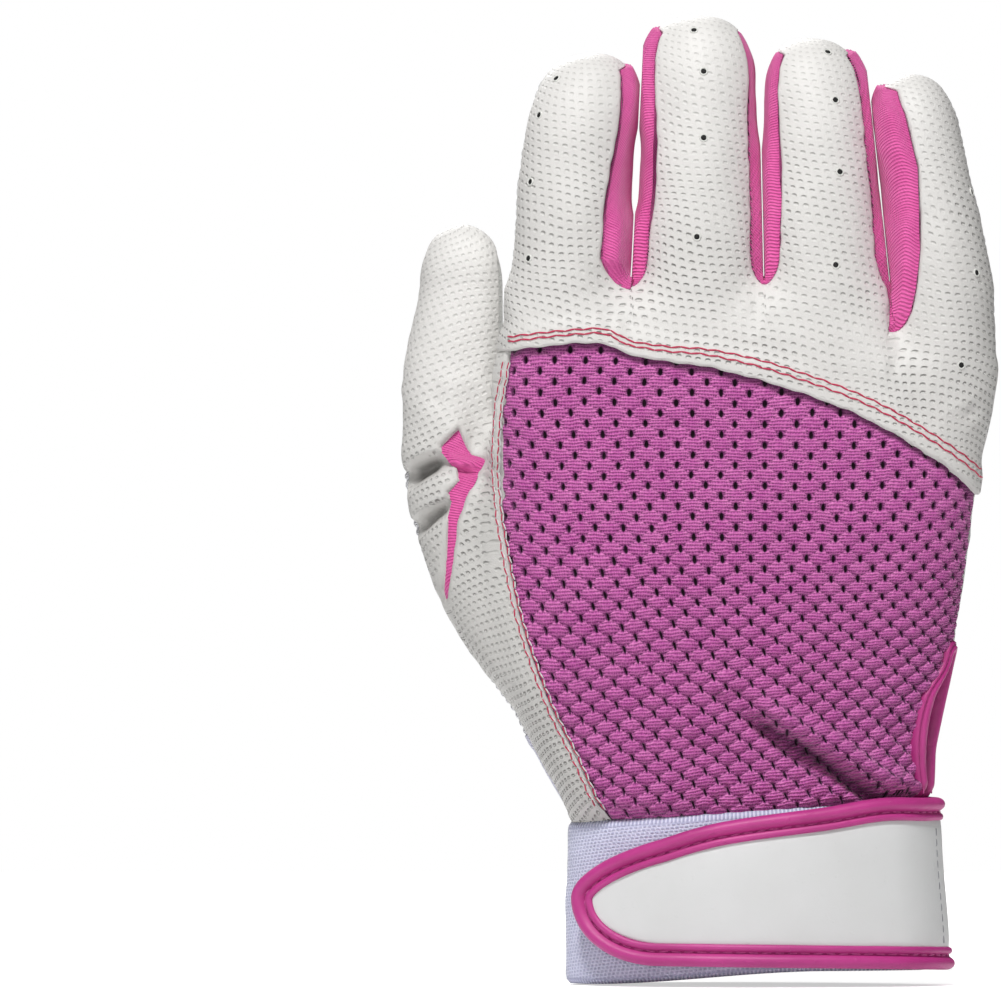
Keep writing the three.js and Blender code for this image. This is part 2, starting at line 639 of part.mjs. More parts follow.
// Materials
const leather = (color) => new THREE.MeshStandardMaterial({ color, roughness: 0.55, metalness: 0 });
const cloth = (color) => new THREE.MeshStandardMaterial({ color, roughness: 0.9, metalness: 0 });
const OFF_WHITE = "#e2e2de";
const HOT_PINK = "#e862b2";
const ORCHID = "#b246a0";
const MAGENTA = "#c83c91";
const LAVENDER_WHITE = "#d9d9ec";
const GREY = "#b9b9bd";

// Assembly
const glove = new THREE.Group();
glove.name = "batting_glove";

function place(name, body, material) {
  const mesh = new THREE.Mesh(body instanceof THREE.BufferGeometry ? body : geometryOf(body), material);
  mesh.name = name;
  glove.add(mesh);
}

place("palm_panel", lowerPalm.subtract(wristCorner(SEAM_GAP)), leather(OFF_WHITE));
const knucklePanel = lowerBack.intersect(aboveHem(0)).subtract(leftOfWebLine(SEAM_GAP));
place("knuckle_panel", knucklePanel, leather(OFF_WHITE));
place("back_mesh", lowerBack.subtract(backLeather), cloth(ORCHID));
place("thumb_panel", thumbBack.subtract(gussetAndSeam), leather(OFF_WHITE));
place("thumb_gusset", thumbBack.intersect(gussetSpace), cloth(HOT_PINK));
place("wrist_rib", wristPalm.intersect(aboveRibEdge(SEAM_GAP)), cloth(LAVENDER_WHITE));
place("wrist_gusset", wristPalm.subtract(aboveRibEdge(0)), cloth(LAVENDER_WHITE));
place("vent_binding", ventBinding(), cloth(MAGENTA));

// Finger sidewalls: one between each two fingers up to the curl crease, and one round each fingertip
const lowerSidewalls = sidewalls.subtract(aroundTips);
NAMES.slice(0, -1).forEach((name, i) => {
  const next = NAMES[i + 1];
  const axis = (finger) => [0, FAR * 2].map((z) => [FINGERS[finger].axisAt(z), z]);
  const between = prism([...axis(name), ...axis(next).reverse()]);
  place(`${name}_${next}_fourchette`, lowerSidewalls.intersect(between), cloth(HOT_PINK));
});
NAMES.forEach((name, i) => {
  place(`${name}_tip_palm`, palmSide.intersect(tips[i]), leather(OFF_WHITE));
  place(`${name}_tip_back`, backSide.intersect(tips[i]), leather(OFF_WHITE));
  place(`${name}_tip_fourchette`, sidewalls.intersect(tips[i]), cloth(HOT_PINK));
});
place("thumb_tip_palm", palmSide.intersect(thumbTip), leather(OFF_WHITE));
place("thumb_tip_back", backSide.intersect(thumbTip), leather(OFF_WHITE));

place("cuff_band", cuffBand, cloth(LAVENDER_WHITE));
place("loop_patch", patch(loopInner, loopOuter, LOOP_LENGTH), cloth(GREY));
place("strap_hook_patch", patch(hookInner, hookOuter, HOOK_LENGTH), cloth(GREY));
place("strap_lining", strapSheet(liningInner, liningOuter, bindingCover), cloth(GREY));
place("strap_face", strapSheet(faceInner, faceOuter, bindingCover), leather(OFF_WHITE));
place("strap_binding", strapBinding(), cloth(MAGENTA));

export default glove;
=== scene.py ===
import math
from itertools import product

import bpy
import numpy as np
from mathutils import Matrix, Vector


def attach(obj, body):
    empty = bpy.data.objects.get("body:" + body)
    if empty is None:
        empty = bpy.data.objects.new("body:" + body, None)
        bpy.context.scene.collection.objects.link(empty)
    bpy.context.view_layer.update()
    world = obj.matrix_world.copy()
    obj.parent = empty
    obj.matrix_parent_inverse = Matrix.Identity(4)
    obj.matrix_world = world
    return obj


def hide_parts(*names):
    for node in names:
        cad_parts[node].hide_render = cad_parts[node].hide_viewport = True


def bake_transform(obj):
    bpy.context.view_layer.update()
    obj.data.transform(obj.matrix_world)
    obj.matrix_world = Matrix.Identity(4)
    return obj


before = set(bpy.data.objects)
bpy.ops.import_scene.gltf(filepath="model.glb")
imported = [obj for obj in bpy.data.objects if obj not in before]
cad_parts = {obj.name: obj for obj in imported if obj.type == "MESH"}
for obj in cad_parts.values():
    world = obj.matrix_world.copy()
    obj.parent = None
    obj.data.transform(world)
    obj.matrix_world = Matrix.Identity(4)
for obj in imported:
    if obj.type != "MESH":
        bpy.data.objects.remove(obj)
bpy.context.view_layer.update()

# Sizes in millimetres, with some shares, powers and turns, as in the CAD model where it has them
CUFF_WIDTH, CUFF_DEPTH, CUFF_WALL = 68, 34, 1.8
CUFF_SLIT_START, CUFF_SLIT_WIDTH = 4, 3
CUFF_TOP_THUMB, CUFF_TOP_LITTLE, CUFF_TUCK = 29.5, 34, 1.6
CUFF_FLARE, CUFF_FLARE_TOP = 1.9, 26
CROTCH, LITTLE_CROTCH, UPPER_LEVEL = 129.2, 118.7, 165
FINGER_CURL, CURL_RISE = 7, 50
FINGER_DOME, FINGER_EMBED, EMBED_SHARE = 12, 20, 0.7
FINGER_ROOT_DEPTH, FINGER_UPPER_DEPTH = 20.6, 17.4
KNUCKLE_DEPTH, KNUCKLE_MARGIN = 22, 0.4
HAND_SQUARENESS, TIP_SQUARENESS = 2.5, 2.5
HAND_DOME, ROW_DOME = 7, 6
ROW_BLEND, FINGER_BLEND = 6, 4
THUMB_BLEND, THUMB_BLEND_LOSS, THUMB_FREE_LOW, THUMB_FREE_HIGH = 9, 6, 88, 106
PALM_TURN = 0.37
THUMB_TIP, THUMB_DOME, THUMB_CREASE, THUMB_MIDDLE_X = 141.5, 11.5, 114, -55
MIDDLE_FINGER_X = -9.5
VENT_SLIT_END, VENT_TOP_Y, VENT_LEAN, VENT_OPEN = 61, -3.4, 1.6, 2.4
VENT_EDGE, VENT_ROLL, VENT_TUCK, VENT_GROOVE = 0.35, 2.5, 2.0, 0.7
STRAP_START, STRAP_LENGTH, STRAP_LOWER_EDGE = -2.2, 73.6, 3.6
STRAP_ROOT_TOP, STRAP_END_TOP = 34, 26.5
STRAP_NOSE_HEIGHT, STRAP_NOSE_UPPER, STRAP_NOSE_LOWER = 16, 28, 16
BINDING_WIDTH, PATCH_MARGIN, HOOK_LENGTH, LOOP_LENGTH = 5.2, 2, 34, 48
MESH_ACROSS, MESH_UP, RIB_PITCH = 5.1, 4.07, 1.56
GRID_STEP, LINING_STEP, LINING_INSET = 0.6, 2.0, 2.2
FORM_LOW, FORM_HIGH = [-70, -24, 25], [52, 31, 184]
BEND_BELOW, BEND_ABOVE = 11, 13
THUMB_BEND_BELOW, THUMB_BEND_ABOVE = 6, 12
WEB_SLANT, WEB_SLANT_REACH, WEB_MIDDLE = 0.55, 2.5, 8.5
SEAM_LINES = {
    "hem": [
        (-58, 116.2), (-44.8, 117.5), (-36, 118.5), (-28.5, 118.9), (-25.6, 118.1), (-23, 116.9),
        (-16, 115.5), (-7.4, 114.3), (6, 110.7), (20.5, 105.3), (34.8, 97.1), (42.2, 90.8), (52, 80),
    ],
    "thumb": [
        (-43.8, 126), (-45.4, 114), (-46.6, 106), (-46.8, 92), (-45.5, 81.5), (-42.6, 67), (-37.8, 53),
        (-31.4, 40), (-24, 24),
    ],
    "gusset": [
        (-54.1, 103.2), (-57.7, 99.9), (-57.3, 99.1), (-54.6, 96), (-54, 93.6), (-56.4, 91.2), (-55.3, 89.8),
        (-56.2, 86.1), (-56.6, 80.5), (-57, 73.1), (-56.6, 71.2), (-56, 75.9), (-55.4, 80.5), (-54.6, 86.1),
        (-53.4, 89.3), (-52.5, 91.7), (-51.5, 93.6), (-50.8, 95.6), (-49.8, 97.6), (-51.8, 98.4),
        (-54.1, 103.2),
    ],
    "wrist": [(-72, 104), (-40, 66), (-33.5, 58), (-26, 47), (-19.9, 38), (-15.5, 22)],
    "rib": [(-49, 39), (-28, 59)],
}
FINGERS = {
    "index": {"root": 22.0, "upper": 19.6, "length": 43.8, "crease": 146, "crotch": CROTCH},
    "middle": {"root": 23.0, "upper": 20.8, "length": 50.8, "crease": 149, "crotch": CROTCH},
    "ring": {"root": 22.4, "upper": 19.0, "length": 46.6, "crease": 147, "crotch": CROTCH},
    "little": {"root": 18.6, "upper": 15.0, "length": 50.3, "crease": 139, "crotch": LITTLE_CROTCH},
}
NAMES = list(FINGERS)
ROOT_GAPS, UPPER_GAPS = [2.4, 1.2, 1.0], [1.0, 2.0, 1.0]

# How much sidewall shows left and right of each finger's back, at these shares of its height
SHOWN_AT = [0, 0.12, 0.35, 0.65, 0.85, 0.97]
FINGERS["index"]["shown"] = (None, [1.2, 4.4, 4.2, 2.7, 2.4, 1.2])
FINGERS["middle"]["shown"] = ([0.8, 1.4, 2.1, 2.1, 1.5, 0.8], [1.0, 1.4, 1.1, 1.1, 0.9, 0.5])
FINGERS["ring"]["shown"] = ([1.0, 2.0, 2.5, 2.2, 2.0, 1.4], [0.8, 1.5, 1.0, 1.1, 0.9, 0.5])
FINGERS["little"]["shown"] = ([0.3, 3.0, 5.4, 6.6, 5.2, 2.8], None)


# Numbers
def smooth_step(value, low, high):
    t = np.clip((value - low) / (high - low), 0, 1)
    return t * t * (3 - 2 * t)


def smooth_min(a, b, reach):
    h = np.clip(0.5 + 0.5 * (b - a) / reach, 0, 1)
    return b * (1 - h) + a * h - reach * h * (1 - h)


def unit(vectors):
    return vectors / np.maximum(np.linalg.norm(vectors, axis=1), 1e-12)[:, None]


def through(heights, values):
    """A smooth curve through values at heights, level beyond both ends."""
    heights, values = np.array(heights, float), np.array(values, float)
    order = np.arange(len(heights))
    before, after = np.maximum(order - 1, 0), np.minimum(order + 1, len(order) - 1)
    slopes = (values[after] - values[before]) / (heights[after] - heights[before])

    def at(z):
        z = np.clip(z, heights[0], heights[-1])
        i = np.clip(np.searchsorted(heights, z) - 1, 0, len(heights) - 2)
        span = heights[i + 1] - heights[i]
        t = (z - heights[i]) / span
        start = (2 * t**3 - 3 * t**2 + 1) * values[i] + (t**3 - 2 * t**2 + t) * span * slopes[i]
        end = (3 * t**2 - 2 * t**3) * values[i + 1] + (t**3 - t**2) * span * slopes[i + 1]
        return start + end

    return at


HASH_FACTORS, HASH_MASK = np.array([73856093, 19349663, 83492791]), 0x7FFFFFFF


def value_noise(p, size, seed):
    """Smooth noise from -1 to 1 with features of the given size."""
    q = p / size
    cell = np.floor(q).astype(np.int64)
    f = q - cell
    f = f * f * f * (f * (f * 6 - 15) + 10)
    total = 0
    for corner in product((0, 1), repeat=3):
        h = np.bitwise_xor.reduce((cell + corner) * HASH_FACTORS, axis=1)
        h = (h ^ (seed * 40503 + 977)) & HASH_MASK
        h = ((h ^ (h >> 13)) * 1274126177) & HASH_MASK
        value = ((h ^ (h >> 16)) % 65536) / 32768 - 1
        total = total + np.abs(1 - np.array(corner) - f).prod(1) * value
    return total


def spline(points, steps):
    """A smooth row of points through the given ones."""
    points = np.array(points, float)
    at = np.linspace(0, len(points) - 1, steps)
    return np.stack([through(range(len(points)), column)(at) for column in points.T], 1)


def lengths_along(path):
    return np.concatenate([[0], np.cumsum(np.linalg.norm(np.diff(path, axis=0), axis=1))])


def even_steps(path, pitch, carried=None):
    """Points at an even pitch along a path, the directions there, and what the path carries there."""
    run = lengths_along(path)
    at = np.arange(pitch / 2, run[-1], pitch)

    def where(values, t):
        return np.stack([np.interp(t, run, column) for column in values.T], 1)

    ahead = where(path, np.minimum(at + 0.1, run[-1])) - where(path, np.maximum(at - 0.1, 0))
    return where(path, at), unit(ahead), where(path if carried is None else carried, at)


# The glove's form: hand, knuckle row, fingers and thumb as level sections, joined smoothly
def stand_side_by_side(key, gaps):
    widths = [FINGERS[name][key] for name in NAMES]
    step = [(widths[i] + widths[i + 1]) / 2 + gaps[i] for i in range(3)]
    x = MIDDLE_FINGER_X
    return [x - step[0], x, x + step[1], x + step[1] + step[2]]


ROOT_CENTRES = stand_side_by_side("root", ROOT_GAPS)
UPPER_CENTRES = stand_side_by_side("upper", UPPER_GAPS)
for order, finger in enumerate(FINGERS.values()):
    finger["order"] = order
    finger["tip"] = finger["crotch"] + finger["length"]

KNUCKLE_LEFT = ROOT_CENTRES[0] - FINGERS["index"]["root"] / 2 - KNUCKLE_MARGIN
KNUCKLE_RIGHT = ROOT_CENTRES[3] + FINGERS["little"]["root"] / 2 + KNUCKLE_MARGIN
WEB_LINE = KNUCKLE_LEFT - 0.5
HAND_HEIGHTS = [31.75, 44, 68, 90, LITTLE_CROTCH]
hand_left = through(HAND_HEIGHTS, [-34, -40.5, -46.2, -47.6, KNUCKLE_LEFT])
hand_right = through(HAND_HEIGHTS, [33.4, 33.8, 38.7, 42, KNUCKLE_RIGHT])
hand_depth = through(HAND_HEIGHTS, [34, 33, 34, 31.5, KNUCKLE_DEPTH])
ROW_HEIGHTS = [LITTLE_CROTCH - FINGER_EMBED, LITTLE_CROTCH, CROTCH - 5, CROTCH]
row_depth = through(ROW_HEIGHTS, [15.4, 23, 20.6, 15])
THUMB_HEIGHTS = [50, 70, 92, 112, 130]
thumb_x = through(THUMB_HEIGHTS, [-35, -46.5, -54.2, -55.3, -53.8])
thumb_y = through(THUMB_HEIGHTS, [0, 5, 9.5, 13.5, 16])
thumb_width = through(THUMB_HEIGHTS, [17, 21, 19.8, 18.4, 15.8])
thumb_depth = through(THUMB_HEIGHTS, [20, 21, 19.4, 18, 16.4])


def curl_at(z):
    return FINGER_CURL * (np.maximum(z - CROTCH, 0) / CURL_RISE) ** 2


def level_share(z):
    return np.maximum(z - CROTCH, 0) / (UPPER_LEVEL - CROTCH)


def finger_section(finger, z):
    """A finger's level section at heights z: the x and y of its middle, half its width and half its depth."""
    share = level_share(z)
    rooted = 1 - (1 - EMBED_SHARE) * np.clip((finger["crotch"] - z) / FINGER_EMBED, 0, 1)
    half_width = (finger["root"] + (finger["upper"] - finger["root"]) * share) * rooted / 2
    half_depth = (FINGER_ROOT_DEPTH + (FINGER_UPPER_DEPTH - FINGER_ROOT_DEPTH) * share) * rooted / 2
    root, upper = ROOT_CENTRES[finger["order"]], UPPER_CENTRES[finger["order"]]
    return root + (upper - root) * share, curl_at(z), half_width, half_depth


def cuff_top(x):
    """The height of the cuff's upper edge, which slopes up from the thumb to the little finger."""
    return CUFF_TOP_THUMB + (CUFF_TOP_LITTLE - CUFF_TOP_THUMB) * (x / CUFF_WIDTH + 0.5)


def section_distance(p, section, power, top, dome, bottom=None, blunt=None):
    """Distance, near the surface, from a form of level sections that a dome closes at the top.
    A blunt power over 2 makes the dome squarer than a ball."""
    x, y, half_width, half_depth = section
    a = np.abs(p[:, 0] - x) / half_width
    b = np.abs(p[:, 1] - y) / half_depth
    c = np.maximum(p[:, 2] - (top - dome), 0) / dome
    if bottom is not None:
        c = c + np.maximum(bottom - p[:, 2], 0) / dome
    blunt = blunt or power
    ring = np.maximum((a**power + b**power) ** (1 / power), 1e-6)
    k = np.maximum((ring**blunt + c**blunt) ** (1 / blunt), 1e-3)
    level = (ring / k) ** (blunt - 1)
    across = level * (a / ring) ** (power - 1) / half_width
    deep = level * (b / ring) ** (power - 1) / half_depth
    slope = np.sqrt(across**2 + deep**2 + ((c / k) ** (blunt - 1) / dome) ** 2)
    return (k - 1) / np.maximum(slope, 1e-3)


def glove_form(p):
    """Distance from the glove's form, negative inside."""
    z = p[:, 2]
    left, right = hand_left(z), hand_right(z)
    hand_sides = ((left + right) / 2, 0, (right - left) / 2, hand_depth(z) / 2)
    hand = section_distance(p, hand_sides, HAND_SQUARENESS, LITTLE_CROTCH + 1, HAND_DOME)
    row_left = ROOT_CENTRES[0] - FINGERS["index"]["root"] / 2
    row_right = ROOT_CENTRES[2] + FINGERS["ring"]["root"] / 2
    row_sides = ((row_left + row_right) / 2, 0, (row_right - row_left) / 2, row_depth(z) / 2)
    row_low = ROW_HEIGHTS[0] + ROW_DOME
    row = section_distance(p, row_sides, 2 * HAND_SQUARENESS, CROTCH + 0.5, ROW_DOME, row_low)
    fingers = 1e3
    for finger in FINGERS.values():
        low = finger["crotch"] - FINGER_EMBED / 2
        sides = finger_section(finger, z)
        one = section_distance(p, sides, 2.0, finger["tip"], FINGER_DOME, low, TIP_SQUARENESS)
        fingers = np.minimum(fingers, one)
    thumb_sides = (thumb_x(z), thumb_y(z), thumb_width(z) / 2, thumb_depth(z) / 2)
    thumb = section_distance(p, thumb_sides, 2.0, THUMB_TIP, THUMB_DOME, THUMB_HEIGHTS[0] + 10)
    body = smooth_min(smooth_min(hand, row, ROW_BLEND), fingers, FINGER_BLEND)
    reach = THUMB_BLEND - THUMB_BLEND_LOSS * smooth_step(z, THUMB_FREE_LOW, THUMB_FREE_HIGH)
    return smooth_min(body, thumb, reach)


def form_slope(p, step=0.05):
    """The gradient of the form's distance."""
    slope = np.empty_like(p)
    for k in range(3):
        move = np.zeros(3)
        move[k] = step
        slope[:, k] = (glove_form(p + move) - glove_form(p - move)) / (2 * step)
    return slope


def onto_form(p, rounds):
    """Points moved onto the form's surface, and the normals there."""
    for _ in range(rounds):
        slope = form_slope(p)
        p = p - (glove_form(p) / np.maximum((slope**2).sum(1), 0.05))[:, None] * slope
    return p, unit(form_slope(p))


def on_side(x, z, sign, reach=40.0, halvings=30):
    """Points of the surface over places (x, z), on the palm side (sign 1) or the back (sign -1)."""
    x, z = np.broadcast_arrays(np.asarray(x, float), np.asarray(z, float))
    inner, outer = seam_depth(x, z), np.full(x.shape, sign * reach)
    for _ in range(halvings):
        middle = (inner + outer) / 2
        inside = glove_form(np.stack([x, middle, z], 1)) < 0
        inner, outer = np.where(inside, middle, inner), np.where(inside, outer, middle)
    p = np.stack([x, inner, z], 1)
    return p, unit(form_slope(p))


# Fields over the surface, in millimetres and positive on the named side
SIDES_BEGIN, SIDES_FULL = 12, 2
BACK_OVER_LOW, BACK_OVER_HIGH, PALM_OVER_LOW, PALM_OVER_HIGH = 3.2, 0.6, 12, 5
HEM_RIPPLE, FAR_AWAY = 0.16, 50.0
VENT_LEAN_REACH, VENT_OPEN_REACH, VENT_CLOSING, VENT_CLOSE_FROM, VENT_CLOSE_TO = 22, 8, 0.8, 10, 25


def seam_depth(x, z):
    """The side seam's y: the fingers' middle, or the thumb's left of the web line."""
    thumb = np.where(z < THUMB_HEIGHTS[0], 0, thumb_y(z))
    return curl_at(z) + (thumb - curl_at(z)) * smooth_step(WEB_LINE - x, -1.5, 1.5)


def digit_range(name, z):
    """The x from and to which a digit's own half of the gaps beside it reaches."""
    if name == "thumb":
        return np.full_like(z, -1e3), np.full_like(z, WEB_LINE)
    i = FINGERS[name]["order"]
    edges = [np.full_like(z, WEB_LINE)]
    for one, two in zip(NAMES[:-1], NAMES[1:]):
        ax, _, aw, _ = finger_section(FINGERS[one], z)
        bx, _, bw, _ = finger_section(FINGERS[two], z)
        edges.append((ax + aw + bx - bw) / 2)
    edges.append(np.full_like(z, 1e3))
    return edges[i], edges[i + 1]


def turn_round(p, finger):
    """Where a point is round a finger: across from -1 to 1, the angle from the back, and the radius there."""
    x, y, z = p.T
    cx, cy, half_width, half_depth = finger_section(finger, z)
    across = (x - cx) / half_width
    turn = np.arctan2(np.abs(across), -(y - cy) / half_depth)
    over = np.clip((z - finger["tip"] + FINGER_DOME) / FINGER_DOME, 0, 1)
    radius = np.sqrt(half_width * half_depth * np.maximum(1 - over**2, 0.05))
    return across, turn, radius


def turn_limits(z, finger, across):
    """The angles at which a finger's back leather ends and its palm leather begins."""
    tip, crotch = finger["tip"], finger["crotch"]
    half_width = finger_section(finger, z)[2]
    over_tip = smooth_step(z, tip - BACK_OVER_LOW, tip - BACK_OVER_HIGH)
    palm_over = smooth_step(z, tip - PALM_OVER_LOW, tip - PALM_OVER_HIGH)
    share = (z - crotch) / finger["length"]
    back, palm = [], []
    for shown in finger["shown"]:
        if shown is None:
            end = np.full(len(z), np.pi / 2)
            begin = end
        else:
            end = np.arcsin(np.clip(1 - np.interp(share, SHOWN_AT, shown) / half_width, 0, 1))
            begin = np.pi / 2 + PALM_TURN + (np.pi / 2 - PALM_TURN + 0.1) * palm_over
        back.append(end + (np.pi + 0.8 - end) * over_tip)
        palm.append(np.maximum(begin, back[-1]))
    left = smooth_step(-across, -0.15, 0.15)
    return back[1] + (back[0] - back[1]) * left, palm[1] + (palm[0] - palm[1]) * left


def side_fields(p):
    """The fields of the back leather and of the palm leather. Where both are negative is the sidewall."""
    x, y, z = p.T
    depth = y - seam_depth(x, z)
    back, palm = -depth, depth.copy()
    for name, finger in FINGERS.items():
        low, high = digit_range(name, z)
        own = np.flatnonzero((x > low) & (x <= high) & (z > finger["crotch"] - SIDES_BEGIN))
        across, turn, radius = turn_round(p[own], finger)
        end, begin = turn_limits(z[own], finger, across)
        share = smooth_step(z[own], finger["crotch"] - SIDES_BEGIN, finger["crotch"] - SIDES_FULL)
        back[own] += share * (radius * (end - turn) - back[own])
        palm[own] += share * (radius * (turn - begin) - palm[own])
    return back, palm


def back_field(p):
    return side_fields(p)[0]


def palm_field(p):
    return side_fields(p)[1]


def wall_field(p):
    back, palm = side_fields(p)
    return np.minimum(-back, -palm)


def line_field(p, line):
    """Signed distance from a line in plan (x, z), positive on its left."""
    q = p[:, [0, 2]]
    best, sign = np.full(len(q), 1e9), np.ones(len(q))
    for a, b in zip(line[:-1], line[1:]):
        d = b - a
        t = np.clip(((q - a) @ d) / (d @ d), 0, 1)
        off = q - a - t[:, None] * d
        distance = np.hypot(off[:, 0], off[:, 1])
        left = np.where(d[0] * (q[:, 1] - a[1]) - d[1] * (q[:, 0] - a[0]) > 0, 1.0, -1.0)
        nearer = distance < best - 1e-9
        sign = np.where(nearer, left, sign)
        best = np.where(nearer, distance, best)
    return sign * best


LINES = {name: spline(points, 160) for name, points in SEAM_LINES.items()}
LINES["rib"] = np.array(SEAM_LINES["rib"], float)
LINES["gusset"] = np.array(SEAM_LINES["gusset"], float)


def graph_field(p, line, over):
    """Signed distance from a line in plan that is a curve over x (over 0) or over z (over 1).
    It is positive beyond the line."""
    along, across = p[:, 2 * over], p[:, 2 - 2 * over]
    order = np.argsort(line[:, over])
    runs, values = line[order, over], line[order, 1 - over]
    slope = np.interp(along, runs, np.gradient(values, runs))
    return (across - np.interp(along, runs, values)) / np.sqrt(1 + slope**2)


def hem_field(p):
    """Positive above the raw hem of the knuckle leather."""
    ripple = HEM_RIPPLE * np.sin(p[:, 0] * 1.1) * np.sin(p[:, 0] * 0.37 + 1)
    return graph_field(p, LINES["hem"], 0) - ripple


def thumb_seam_field(p):
    """Positive right of the thumb seam, over the mesh."""
    return graph_field(p, LINES["thumb"], 1)


def gusset_field(p):
    """Positive inside the thumb gusset."""
    line = LINES["gusset"]
    inside = np.zeros(len(p), bool)
    x, z = p[:, 0], p[:, 2]
    for a, b in zip(line[:-1], line[1:]):
        crosses = (a[1] > z) != (b[1] > z)
        rise = b[1] - a[1] if b[1] != a[1] else 1.0
        inside ^= crosses & (x < a[0] + (z - a[1]) / rise * (b[0] - a[0]))
    return np.where(inside, 1, -1) * np.abs(line_field(p, line))


def wrist_field(p):
    """Positive in the corner of the palm side that the elastic and the wrist gusset fill."""
    return -graph_field(p, LINES["wrist"], 1)


def rib_field(p):
    """Positive above the lower edge of the ribbed elastic."""
    return line_field(p, LINES["rib"])


def cuff_field(p):
    """Positive above a line a little way inside the cuff's top."""
    return p[:, 2] - cuff_top(p[:, 0]) + CUFF_TUCK


def slit_depth(z):
    """The y of the vent's slit."""
    return VENT_TOP_Y - VENT_LEAN * smooth_step(VENT_SLIT_END - z, 0, VENT_LEAN_REACH)


def slit_gape(z):
    """How far the vent's front lip stands away from the other."""
    below = VENT_SLIT_END - z
    closed = VENT_CLOSING * smooth_step(below, VENT_CLOSE_FROM, VENT_CLOSE_TO)
    return VENT_OPEN * smooth_step(below, 0, VENT_OPEN_REACH) * (1 - closed)


def slit_distance(p):
    """Distance from the vent's slit in the little-finger side, which leans and gapes towards the back."""
    beside = p[:, 1] - slit_depth(p[:, 2])
    beside = np.where(beside < 0, np.minimum(beside + slit_gape(p[:, 2]), 0), beside)
    away = np.hypot(beside, np.maximum(p[:, 2] - VENT_SLIT_END, 0))
    return np.where(p[:, 0] > 0, away, FAR_AWAY)


def vent_field(p):
    """Positive outside a band along the slit, which the binding covers."""
    return slit_distance(p) - VENT_TUCK


def right_of_web(p):
    return p[:, 0] - WEB_LINE


def thumb_side_field(p):
    """Positive on the back leather of the thumb and the strip beside the mesh."""
    return np.maximum(np.minimum(-thumb_seam_field(p), -hem_field(p)), -right_of_web(p))


# Sheets of triangles on the form
SEAM_LEVELS = (0.3, 0.7, 1.2)


class Sheet:
    """Points on the form, triangles over them, the form's normals and any further values at the points."""

    def __init__(self, points, triangles, normals, extra=None):
        self.p, self.t, self.n = points, triangles, normals
        self.x = np.zeros((len(points), 0)) if extra is None else extra

    def keep(self, chosen):
        used, index = np.unique(self.t[chosen], return_inverse=True)
        return Sheet(self.p[used], index.reshape(-1, 3), self.n[used], self.x[used])


def triangle_sides(triangles):
    return np.concatenate([triangles[:, [0, 1]], triangles[:, [1, 2]], triangles[:, [2, 0]]])


def unique_edges(pairs, total):
    """Ends of each edge among pairs of points, each pair's edge, and each edge's first pair and count."""
    pairs = np.sort(pairs, axis=1)
    keys = pairs[:, 0] * total + pairs[:, 1]
    keys, first, index, count = np.unique(keys, return_index=True, return_inverse=True, return_counts=True)
    return keys // total, keys % total, index, first, count


def split(sheet, values):
    """A sheet with its triangles cut along the zero line of a value at each vertex."""
    values = np.where(np.abs(values) < 1e-5, 1e-5, values)
    side = values > 0
    count = side[sheet.t].sum(1)
    mixed = (count == 1) | (count == 2)
    cut = sheet.t[mixed]
    lone_is_positive = side[cut].sum(1) == 1
    lone = np.argmax(side[cut] == lone_is_positive[:, None], axis=1)
    rows = np.arange(len(cut))
    a, b, c = (cut[rows, (lone + k) % 3] for k in range(3))
    total = len(sheet.p)
    ends = np.concatenate([np.stack([a, b], 1), np.stack([a, c], 1)])
    i, j, index, *_ = unique_edges(ends, total)
    share = (values[i] / (values[i] - values[j]))[:, None]

    def between(array):
        return array[i] + share * (array[j] - array[i])

    points = np.concatenate([sheet.p, between(sheet.p)])
    normals = np.concatenate([sheet.n, unit(between(sheet.n))])
    extra = np.concatenate([sheet.x, between(sheet.x)])
    m, n = total + index[: len(cut)], total + index[len(cut):]
    parts = [sheet.t[~mixed], np.stack([a, m, n], 1), np.stack([m, b, c], 1), np.stack([m, c, n], 1)]
    return Sheet(points, np.concatenate(parts), normals, extra)


def clip(sheet, field):
    """The part of a sheet where a field is positive."""
    made = split(sheet, field(sheet.p))
    return made.keep(field(made.p[made.t].mean(1)) > 0)


def score(sheet, field):
    """A sheet with extra vertices along lines near a field's zero, for a crisp profile at a seam."""
    for level in SEAM_LEVELS:
        sheet = split(sheet, field(sheet.p) - level)
    return sheet


def refine(sheet):
    """A sheet with each triangle divided into four."""
    total = len(sheet.p)
    i, j, index, *_ = unique_edges(triangle_sides(sheet.t), total)
    points = np.concatenate([sheet.p, (sheet.p[i] + sheet.p[j]) / 2])
    normals = np.concatenate([sheet.n, unit(sheet.n[i] + sheet.n[j])])
    a, b, c = sheet.t.T
    ab, bc, ca = (total + index).reshape(3, -1)
    corners = [(a, ab, ca), (ab, b, bc), (ca, bc, c), (ab, bc, ca)]
    return Sheet(points, np.concatenate([np.stack(one, 1) for one in corners]), normals)


